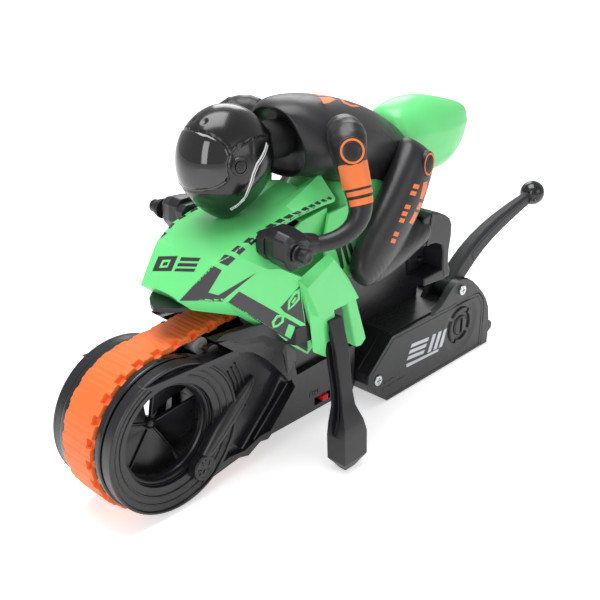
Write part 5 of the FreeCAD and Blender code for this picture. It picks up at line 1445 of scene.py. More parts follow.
def plate_detail():
    parts = []
    for prof in ([(33.5, 19.0), (33.6, 20.2), (34.0, 20.9), (34.7, 20.9), (35.1, 20.3), (35.1, 19.0)],
                 [(30.5, 18.2), (30.7, 19.15), (31.0, 19.35), (31.4, 19.3), (31.6, 18.6)],
                 [(27.3, 17.0), (27.5, 18.2), (27.8, 18.4), (28.3, 18.3), (28.5, 17.4)]):
        o = lathe("bead", prof, seg=160)
        finish_hard(o, 0.1, 1, 30)
        parts.append(o)
    # raised oval arm with a spine, rising from the boss
    path = [(-12.5, -20.0, 1.6, 21.0), (-17.5, -15.0, 3.2, 22.2), (-25.0, -8.0, 4.5, 22.9), (-33.5, -0.4, 4.4, 22.8), (-41.0, 6.0, 3.2, 22.0), (-45.4, 9.8, 1.7, 20.8), (-47.4, 11.4, 0.6, 19.0)]
    secs = []
    for x, z, w, top in path:
        u = (-0.66, 0.75)
        n = (0.75, 0.66)
        ring = []
        for k in range(12):
            a = math.pi * k / 11
            c, s = math.cos(a), math.sin(a)
            ring.append((x + n[0] * w * c, 17.0 + (top - 17.0) * (s ** 0.6), z + n[1] * w * c))
        secs.append(ring)
    arm_ = loftm("arm", secs)
    smooth_by(arm_, 40)
    parts.append(arm_)
    spine = loftm("spine", [[(x + 0.75 * d, y, z + 0.66 * d) for d, y in ((-0.35, t - 0.4), (-0.2, t + 0.22), (0.2, t + 0.22), (0.35, t - 0.4))] for x, z, w, t in path[1:-1]])
    finish_hard(spine, 0.08, 1, 30)
    parts.append(spine)
    # boss: stepped disc with a rough cast face
    b = lathe("boss", [(0.0, 21.5), (4.4, 21.5), (4.7, 21.9), (5.6, 21.9), (6.1, 21.4), (6.3, 20.4), (6.3, 17.0), (0.0, 17.0)], -14.0, -21.5, seg=48, closed=False)
    finish_hard(b, 0.12, 1, 28)
    parts.append(b)
    rnd = random.Random(11)
    for k in range(16):
        a, r = rnd.uniform(0, 6.28), 3.9 * math.sqrt(rnd.random())
        x, z = -14.0 + r * math.cos(a), -21.5 + r * math.sin(a)
        s = rnd.uniform(0.45, 0.9)
        t = rnd.uniform(0, 3.14)
        q = [(x + s * math.cos(t + j * 1.57 + rnd.uniform(-0.3, 0.3)), z + s * math.sin(t + j * 1.57)) for j in range(4)]
        o = prism("chip", q, 21.3, 21.5 + rnd.uniform(0.15, 0.4))
        parts.append(o)
    # ribs of the channel behind the arm
    for p, q, w, t in (((-37.5, -23.0), (-57.5, -3.5), 1.3, 20.4), ((-57.5, -3.5), (-66.0, 8.0), 1.3, 20.4), ((-46.0, -22.4), (-69.0, -1.0), 1.0, 19.6)):
        d = Vector((q[0] - p[0], q[1] - p[1])).normalized()
        n = Vector((-d.y, d.x)) * w / 2
        o = prism("rib", [(p[0] - n.x, p[1] - n.y), (q[0] - n.x, q[1] - n.y), (q[0] + n.x, q[1] + n.y), (p[0] + n.x, p[1] + n.y)], 17.0, t)
        finish_hard(o, 0.35, 2, 20)
        parts.append(o)
    # concentric arcs in the recess
    for r in (37.6, 40.2, 42.8):
        ring = []
        for k in range(25):
            a = math.radians(150 + 34 * k / 24)
            ring.append([(r * math.cos(a), 17.2, r * math.sin(a)), (r * math.cos(a), 18.3, r * math.sin(a)), ((r + 0.8) * math.cos(a), 18.3, (r + 0.8) * math.sin(a)), ((r + 0.8) * math.cos(a), 17.2, (r + 0.8) * math.sin(a))])
        o = loftm("arc", ring)
        finish_hard(o, 0.15, 1, 30)
        parts.append(o)
    # shoulder shield: folded facets that catch the light above the arch
    A, B, C, D, E, F = (-22.6, 22.4, 39.2), (-33.5, 24.6, 36.0), (-48.5, 25.4, 34.0), (-62.4, 25.0, 24.0), (-64.6, 24.4, 8.6), (-67.5, 21.4, 1.2)
    a, b2, c, d, e = (-25.0, 20.4, 37.4), (-33.0, 20.2, 31.4), (-51.0, 20.2, 21.0), (-60.2, 20.2, 11.0), (-65.8, 20.2, 2.6)
    up = [(-27.0, 22.6, 41.0), (-38.0, 24.2, 40.6), (-52.0, 24.6, 39.0), (-68.5, 24.2, 30.0), (-72.0, 23.0, 12.0), (-72.6, 20.6, 2.4)]
    o = shell("shield", [[A, B, b2, a], [B, C, c, b2], [C, D, d, c], [D, E, e, d], [E, F, e], [A, up[0], up[1], B], [B, up[1], up[2], C], [C, up[2], up[3], D], [D, up[3], up[4], E], [E, up[4], up[5], F]],
              thick=1.6, bevel=0.35, deg=12, up=(0, 1, 0), seg=2)
    parts.append(o)
    # edge bead round the lower raised panel and along the bottom flange
    for p, q in (((-56.4, -22.2), (-74.0, -4.6)), ((-74.0, -4.6), (-71.4, 0.8)), ((-71.4, 0.8), (-93.0, 1.9)), ((-93.0, 1.9), (-117.5, 1.9))):
        d = Vector((q[0] - p[0], q[1] - p[1])).normalized()
        n = Vector((-d.y, d.x)) * 0.5
        o = prism("edge", [(p[0] - n.x, p[1] - n.y), (q[0] - n.x, q[1] - n.y), (q[0] + n.x, q[1] + n.y), (p[0] + n.x, p[1] + n.y)], 19.0, 20.55)
        finish_hard(o, 0.25, 2, 20)
        parts.append(o)
    # raised marks above the switch, generic
    for k in range(4):
        o = prism("mark", [(-84.4 - 1.9 * k, -15.2), (-85.6 - 1.9 * k, -15.2), (-85.9 - 1.9 * k, -12.9), (-84.7 - 1.9 * k, -12.9)], 19.6, 20.25)
        parts.append(o)
    return join(parts, "plate_detail")


det = plate_detail()
detR = mirrored(det, "plate_detail_right")
for node, o in (("chassis_left", det), ("chassis_right", detR)):
    base = copy_of(node, 0.3, 2, 25)
    ob = join([base, o], node + "_moulded")
    put(ob, "chassis", M["plate"], (node,))


# ------------------------------------------------------------------ outriggers
def make_outrigger(s):
    secs = [(35.0, -77.5, -86.5, 32.6, 38.6), (20.0, -77.0, -86.0, 36.4, 43.8), (2.0, -74.6, -82.4, 42.4, 49.4), (-5.0, -72.8, -81.8, 44.2, 52.0), (-12.0, -69.6, -83.4, 45.4, 56.0),
            (-18.0, -68.4, -84.7, 45.8, 57.2), (-31.2, -68.8, -85.2, 46.0, 57.2), (-33.6, -70.8, -83.4, 47.4, 55.8), (-37.4, -73.4, -80.2, 49.8, 53.8)]
    leg_ = loftm("leg", [[(xf, yo, z), (xf, yi, z), (xr, yi, z), (xr, yo, z)] for z, xf, xr, yi, yo in secs])
    ch = loftm("ch", [[(xf + 4, yo - 1.7, z), (xf + 4, yi + 1.7, z), (xf - dp, yi + 1.9, z), (xf - dp, yo - 1.9, z)] for z, xf, yi, yo, dp in
                      ((37.0, -77.5, 32.2, 38.0, 3.6), (20.0, -77.0, 36.4, 43.8, 3.6), (2.0, -74.6, 42.4, 49.4, 3.6), (-5.0, -72.8, 44.2, 52.0, 3.6), (-12.0, -69.6, 45.9, 54.0, 3.8), (-17.2, -68.6, 46.8, 53.4, 2.0))])
    leg_ = boolean(leg_, ch)
    finish_hard(leg_, 0.55, 2, 22)
    # the web inside the channel
    web = loftm("web", [[(xf - 1.2, yc + 0.45, z), (xf - 1.2, yc - 0.45, z), (xf - 4.4, yc - 0.45, z), (xf - 4.4, yc + 0.45, z)] for z, xf, yc in
                        ((34.0, -77.5, 35.4), (20.0, -77.0, 40.1), (2.0, -74.6, 45.9), (-5.0, -72.8, 48.0), (-12.0, -70.6, 49.6))])
    finish_hard(web, 0.15, 1, 30)
    # crossbar from the chassis pad, hidden under the wing
    bar = loftm("bar", [[(-62.5, 23.6, 24.0), (-62.5, 23.6, 32.5), (-72.0, 23.6, 32.5), (-72.0, 23.6, 24.0)], [(-64.5, 30.0, 24.4), (-64.5, 30.0, 33.4), (-75.0, 30.0, 33.4), (-75.0, 30.0, 24.4)],
                        [(-77.4, 33.4, 26.0), (-77.4, 33.4, 34.8), (-86.2, 33.4, 34.8), (-86.2, 33.4, 26.0)]])
    finish_hard(bar, 0.4, 2, 20)
    ob = join([leg_, web, bar], "outrigger")
    side = "left" if s > 0 else "right"
    if s < 0:
        m = mirrored(ob, "o")
        bpy.data.objects.remove(ob)
        ob = m
    ob.name = "outrigger_%s_channelled" % side
    put(ob, "chassis", M["frame"], ("outrigger_" + side,))


make_outrigger(1)
make_outrigger(-1)

# screws: the box's screw shows, the outriggers' screws sit in their crossbars
def keep_loose(ob, test):
    bm = bmesh.new()
    bm.from_mesh(ob.data)
    seen, kill = set(), []
    for v in bm.verts:
        if v in seen:
            continue
        stack, isl = [v], []
        seen.add(v)
        while stack:
            w = stack.pop()
            isl.append(w)
            for e in w.link_edges:
                o = e.other_vert(w)
                if o not in seen:
                    seen.add(o)
                    stack.append(o)
        c = sum((w.co for w in isl), Vector()) / len(isl)
        if not test((c.x * 1000 - DX, c.y * 1000, c.z * 1000 - DZ)):
            kill += isl
    bmesh.ops.delete(bm, geom=kill, context="VERTS")
    bm.to_mesh(ob.data)
    bm.free()


sc = copy_of("case_screws", 0.12, 2, 25)
keep_loose(sc, lambda c: c[0] < -100)
pins = [cyl("pin", (-69.0, s * 20.0, 28.0), (-69.0, s * 28.5, 28.0), 1.4, seg=24) for s in (1, -1)]
for p in pins:
    smooth_by(p, 40)
ob = join([sc] + pins, "case_screws_cross")
put(ob, "chassis", M["steel"], ("case_screws",))


# ------------------------------------------------------------------ power switch with ribs
sw = copy_of("power_switch", 0.2, 2, 25)
lo = [min(v.co[i] for v in sw.data.vertices) for i in range(3)]
hi = [max(v.co[i] for v in sw.data.vertices) for i in range(3)]
x0, x1, zc, yt = lo[0] * 1000 - DX, hi[0] * 1000 - DX, (lo[2] + hi[2]) * 500 - DZ, hi[1] * 1000
ribs = []
for k in range(5):
    x = x0 + (x1 - x0) * (0.30 + 0.1 * k)
    o = prism("r", [(x - 0.22, zc - 1.5), (x + 0.22, zc - 1.5), (x + 0.22, zc + 1.5), (x - 0.22, zc + 1.5)], yt - 0.3, yt + 0.28)
    finish_hard(o, 0.08, 1, 30)
    ribs.append(o)
ob = join([sw] + ribs, "power_switch_ribbed")
put(ob, "power_switch", M["red"], ("power_switch",))
# ------------------------------------------------------------------ rear box, cover, lever
def make_cover():
    out = [(-139.9, 1.5), (-121.3, -14.9), (-121.1, -20.5), (-124.7, -26.5), (-137.8, -36.6), (-229.0, -36.6), (-229.0, -9.8), (-226.9, -4.6), (-222.2, 0.4), (-216.0, 1.4)]
    ob = prism("cover", out, 25.66, 28.0)
    dx, dz = -205.6, -14.8
    bowl = lathe("bowl", [(0.0, 26.9), (6.0, 26.9), (12.2, 27.2), (15.6, 27.7), (17.4, 28.05), (17.4, 30.0), (0.0, 30.0)], dx, dz, seg=96, closed=False)
    ob = boolean(ob, bowl)
    hole = cyl("h", (-128.9, 24.0, -20.5), (-128.9, 30.0, -20.5), 3.2, seg=40)
    seat = None
    ob = boolean(ob, hole)
    floor = cyl("f", (-128.9, 25.7, -20.5), (-128.9, 27.3, -20.5), 3.6, seg=40)
    core = cyl("c", (-128.9, 20.0, -20.5), (-128.9, 40.0, -20.5), 1.6, seg=32)
    floor = boolean(floor, core)
    finish_hard(ob, 0.32, 2, 24)
    parts = [ob, floor]
    # fine raised border just inside the edge
    inner = [(-141.4, -0.8), (-123.6, -16.0), (-123.3, -20.9), (-126.6, -26.2), (-138.6, -34.8), (-227.0, -34.8), (-227.0, -10.2), (-225.2, -5.8), (-221.4, -1.6), (-215.6, -0.9)]
    n = len(inner)
    for i in range(n):
        p, q = inner[i], inner[(i + 1) % n]
        d = Vector((q[0] - p[0], q[1] - p[1])).normalized()
        w = Vector((-d.y, d.x)) * 0.32
        p, q = (p[0] - d.x * 0.3, p[1] - d.y * 0.3), (q[0] + d.x * 0.3, q[1] + d.y * 0.3)
        o = prism("b", [(p[0] - w.x, p[1] - w.y), (q[0] - w.x, q[1] - w.y), (q[0] + w.x, q[1] + w.y), (p[0] + w.x, p[1] + w.y)], 27.7, 28.22)
        finish_hard(o, 0.14, 1, 24)
        parts.append(o)
    # dish: outer ring in four arcs, turned knob with its key slot
    ring = lathe("ring", [(8.6, 26.7), (8.7, 27.9), (9.1, 28.25), (10.7, 28.25), (11.3, 27.8), (11.6, 26.7)], dx, dz, seg=96)
    bars = []
    for a in (35, 125):
        u, v = (math.cos(math.radians(a)), math.sin(math.radians(a))), (-math.sin(math.radians(a)), math.cos(math.radians(a)))
        bars.append(prism("s", [(dx + u[0] * l + v[0] * w, dz + u[1] * l + v[1] * w) for l, w in ((-14, -1.1), (14, -1.1), (14, 1.1), (-14, 1.1))], 26.0, 30.0))
    for b in bars:
        ring = boolean(ring, b)
    finish_hard(ring, 0.22, 2, 24)
    parts.append(ring)
    knob = lathe("knob", [(0.0, 28.1), (3.6, 28.1), (5.2, 27.9), (6.0, 27.4), (6.4, 26.7), (0.0, 26.7)], dx, dz, seg=64, closed=False)
    slot = prism("k", [(dx - 1.2, dz - 4.6), (dx + 1.2, dz - 4.6), (dx + 1.2, dz + 4.6), (dx - 1.2, dz + 4.6)], 27.2, 30.0)
    knob = boolean(knob, slot)
    finish_hard(knob, 0.2, 2, 24)
    parts.append(knob)
    # arrow mark beside the screw and small raised bars, generic
    for k, (x, z, l) in enumerate(((-133.5, -27.6, 4.6), (-139.5, -27.6, 3.2), (-134.5, -24.6, 2.6), (-138.9, -24.6, 4.2), (-146.0, -27.6, 5.4))):
        o = prism("m", [(x, z - 0.5), (x - l, z - 0.5), (x - l - 0.4, z + 0.5), (x - 0.4, z + 0.5)], 27.8, 28.16)
        parts.append(o)
    ob = join(parts, "battery_cover_detailed")
    put(ob, "chassis", M["frame"], ("battery_cover",))
    return ob


COVER = make_cover()


def make_box():
    base = copy_of("rear_box", 0.3, 2, 25)
    parts = [base]
    # rim that carries the ear's curve down to the rounded rear edge
    rim = [(-209.0, 13.9), (-214.6, 10.6), (-220.4, 5.6), (-226.2, 0.0), (-230.6, -5.4), (-234.2, -12.0), (-236.0, -21.0), (-229.3, -21.0), (-229.3, -9.7), (-227.2, -4.4), (-222.5, 0.8), (-216.2, 1.8), (-209.0, 3.0)]
    o = prism("rim", rim, 23.6, 28.12)
    finish_hard(o, 0.4, 2, 22)
    parts.append(o)
    # ear's front blend
    o = prism("blend", [(-176.0, 1.6), (-184.0, 4.4), (-190.0, 9.2), (-194.0, 12.6), (-194.0, 1.6)], 24.0, 28.12)
    finish_hard(o, 0.35, 2, 22)
    parts.append(o)
    # raised warning-panel texture on the roof: rows of small plain bars
    rnd = random.Random(5)
    for r in range(6):
        y, x = 18.5 - 3.0 * r, -146.0
        while x > -171.0:
            l = rnd.uniform(1.2, 4.2)
            o = prism("t", [(x, y), (x - l, y), (x - l, y - 1.2), (x, y - 1.2)], 2.3, 2.78, flat="xy")
            parts.append(o)
            x -= l + rnd.uniform(0.8, 1.6)
    # front wall ribs
    for y in (-20, -10, 0, 10, 20):
        o = loftm("fr", [[(-139.2, y - 0.5, 0.4), (-139.2, y + 0.5, 0.4), (-138.2, y + 0.5, 0.4), (-138.2, y - 0.5, 0.4)], [(-122.4, y - 0.5, -14.0), (-122.4, y + 0.5, -14.0), (-121.2, y + 0.5, -13.6), (-121.2, y - 0.5, -13.6)]])
        finish_hard(o, 0.15, 1, 30)
        parts.append(o)
    ob = join(parts, "rear_box_moulded")
    put(ob, "chassis", M["frame"], ("rear_box",))


make_box()


def make_lever():
    LYc = 18.0
    mid = [(-203.0, 8.6, 5.5, 4.6), (-207.6, 12.0, 6.0, 4.6), (-212.6, 16.2, 6.2, 4.6), (-221.0, 22.0, 6.1, 4.5), (-231.0, 27.4, 5.7, 4.3), (-241.0, 31.4, 5.3, 4.1), (-251.0, 34.6, 4.9, 3.9),
           (-260.0, 36.9, 4.5, 3.7), (-268.0, 38.9, 4.2, 3.5), (-277.0, 40.8, 3.8, 3.2), (-284.4, 42.3, 3.5, 3.0)]
    secs = []
    for i, (x, z, a, b) in enumerate(mid):
        x0, z0 = mid[max(0, i - 1)][:2]
        x1, z1 = mid[min(len(mid) - 1, i + 1)][:2]
        t = Vector((x1 - x0, 0, z1 - z0)).normalized()
        n = Vector((-t.z, 0, t.x))
        secs.append([tuple(Vector((x, LYc, z)) + n * (a * sx) + Vector((0, 1, 0)) * (b * sy)) for sx, sy in ((-1, -0.62), (-0.72, -1), (0.72, -1), (1, -0.62), (1, 0.62), (0.72, 1), (-0.72, 1), (-1, 0.62))])
    body = loftm("lever", secs)
    finish_hard(body, 0.5, 3, 18)
    hub = lathe("hub", [(2.06, LYc - 5.0), (5.2, LYc - 5.0), (5.6, LYc - 4.6), (5.6, LYc + 4.6), (5.2, LYc + 5.0), (2.06, LYc + 5.0)], -203.0, 8.6, seg=72)
    body = boolean(body, cyl("b", (-203.0, 0, 8.6), (-203.0, 40, 8.6), 2.06, seg=48))
    finish_hard(hub, 0.1, 1, 30)
    # collar under the ball
    d = Vector((-291.3, LYc, 44.2)) - Vector((-284.4, LYc, 42.3))
    d.normalize()
    c0 = Vector((-282.6, LYc, 41.9))
    col = cyl("col", tuple(c0), tuple(c0 + d * 3.4), 3.9, 3.6, seg=40)
    finish_hard(col, 0.25, 2, 25)
    parts = [body, hub, col]
    for s in (1, -1):       # shallow raised field along both sides
        pts = mid[3:-1]
        lo_, hi_ = [], []
        for i, (x, z, a, b) in enumerate(pts):
            t = Vector((pts[min(i + 1, len(pts) - 1)][0] - pts[max(i - 1, 0)][0], 0, pts[min(i + 1, len(pts) - 1)][1] - pts[max(i - 1, 0)][1])).normalized()
            n = Vector((-t.z, 0, t.x))
            lo_.append((Vector((x, 0, z)) - n * a * 0.42, b))
            hi_.append((Vector((x, 0, z)) + n * a * 0.42, b))
        secs = [[(l.x, LYc + s * (b - 0.5), l.z), (h.x, LYc + s * (b - 0.5), h.z), (h.x, LYc + s * (b + 0.22), h.z), (l.x, LYc + s * (b + 0.22), l.z)] for (l, b), (h, _) in zip(lo_, hi_)]
        o = loftm("field", secs)
        finish_hard(o, 0.18, 2, 25)
        parts.append(o)
    ob = join(parts, "stunt_lever_moulded")
    put(ob, "stunt_lever", M["lever"], ("stunt_lever",))
    # ball with its parting line and a small gate mark
    prof = [(0.0, -7.5)]
    for k in range(1, 48):
        a = -math.pi / 2 + math.pi * k / 48
        r = 7.5 * math.cos(a)
        if abs(k - 24) == 0:
            r += 0.07
        prof.append((r, 7.5 * math.sin(a)))
    prof.append((0.0, 7.5))
    ball = lathe("ball", [(r, y + LYc) for r, y in prof], -291.3, 44.2, seg=96, closed=False)
    smooth_by(ball, 60)
    gate = cyl("g", (-286.6, LYc + 5.2, 41.6), (-286.0, LYc + 5.9, 41.0), 1.2, 1.0, seg=24)
    smooth_by(gate, 30)
    ob = join([ball, gate], "lever_ball_gloss")
    put(ob, NODES["lever_ball"]["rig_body"], M["ball"], ("lever_ball",))


make_lever()

# ------------------------------------------------------------------ tail cowl and tank cover
def make_tail():
    S = [(-158, [(0, 112.5), (8, 111.5), (13.5, 105), (14.2, 95), (10, 91), (0, 90)]), (-168, [(0, 117.2), (9, 115.8), (14.8, 108), (15.8, 95), (11.5, 85), (0, 83)]),
         (-180, [(0, 119.2), (9, 117.6), (15.0, 109), (16.4, 94), (12, 80), (0, 77.6)]), (-194, [(0, 117.8), (9, 116.2), (14.6, 108.4), (16.0, 92.6), (11.6, 76.6), (0, 74.2)]),
         (-207, [(0, 114.6), (8.4, 113.2), (13.4, 106.6), (14.6, 92), (10, 76.4), (0, 74)]), (-217, [(0, 111.8), (7.4, 110.6), (11.2, 105), (12.2, 92.6), (8, 79.6), (0, 77.6)]),
         (-225, [(0, 109.4), (6, 108.4), (8.4, 103.6), (8.8, 93.6), (5.8, 84.0), (0, 82.4)]), (-229.6, [(0, 106.8), (4.4, 106.0), (6.0, 102.0), (6.2, 94.6), (4.0, 87.4), (0, 86.0)]),
         (-231.6, [(0, 103.4), (2.6, 102.8), (3.6, 100.2), (3.6, 95.6), (2.4, 91.2), (0, 90.2)])]
    rings = [[(x, y, z) for y, z in h] + [(x, -y, z) for y, z in reversed(h[1:-1])] for x, h in S]
    ob = loftm("tail", rings)
    sub(ob, 3)
    for s in (1, -1):
        groove(ob, [[(-166, 15.6 * s, 101), (-185, 16 * s, 100), (-205, 14.8 * s, 99), (-222, 10.5 * s, 98.5), (-231, 4 * s, 98)]], 1.6, -0.55)
        groove(ob, [[(-172, 14 * s, 89), (-190, 14.6 * s, 84), (-207, 12.6 * s, 83), (-222, 8.6 * s, 86)]], 0.5, 0.3, 0.08)
    ob.name = "tail_cowl_shell"
    smooth_by(ob, 60)
    put(ob, "chassis", M["green"], ("tail_cowl",))
    ob = None


make_tail()


def make_tank():
    parts = []
    half = [(-104.6, 0, 90.5), (-104.6, 9, 89.4), (-104.6, 17, 85.6), (-104.6, 21, 78), (-104.6, 21.5, 68), (-104.6, 18, 62)]
    S = [(-104.6, 0.0, 0.0), (-112, 2.2, 1.0), (-121, 4.0, 2.2), (-131, 4.6, 2.6), (-141, 2.0, 0.6), (-150, -3.0, -3.2)]
    rings = []
    for x, dz, dy in S:
        h = [(x, max(0, y + (dy if y > 0 else 0)), z + dz) for _, y, z in half]
        rings.append(h + [(a, -b, c) for a, b, c in reversed(h[1:])] )
    ob = loftm("tank", rings)
    sub(ob, 2)
    parts.append(ob)
    # side panels that run down in front of the knees
    for s in (1, -1):
        P = [(-92.0, 24.6, 80.0), (-104.0, 25.4, 82.0), (-116.5, 26.0, 66.0), (-112.6, 27.0, 55.0), (-107.4, 27.4, 44.6), (-97.0, 28.6, 52.0), (-84.0, 30.6, 59.0), (-86.0, 27.4, 68.0)]
        I = [(x, y - 1.6, z) for x, y, z in P]
        o = loftm("side", [[(x, s * y, z) for x, y, z in P], [(x, s * y, z) for x, y, z in I]])
        edit(o, lambda bm: bmesh.ops.triangulate(bm, faces=[f for f in bm.faces if len(f.verts) > 4]))
        finish_hard(o, 0.4, 2, 22)
        parts.append(o)
        # vent slats
        for k in range(3):
            x = -93.0 - 4.6 * k
            q = [(x, 66.0 - 1.5 * k), (x - 2.6, 66.4 - 1.5 * k), (x - 6.0, 52.6 + 0.8 * k), (x - 4.0, 51.6 + 0.8 * k)]
            yy = 28.2 - 0.10 * (k * 4.6)
            o = prism("slat", q, yy - 1.4, yy + 0.35)
            if s < 0:
                m = mirrored(o, "m")
                bpy.data.objects.remove(o)
                o = m
            SLATS.append(o)
    ob = join(parts, "tank_cover_shell")
    smooth_by(ob, 38)
    put(ob, "chassis", M["green"], ("tank_cover",))


SLATS = []
make_tank()
for o in SLATS:
    finish_hard(o, 0.15, 1, 25)
o = join(SLATS, "side_vent_slats")
put(o, "chassis", M["black_print"])
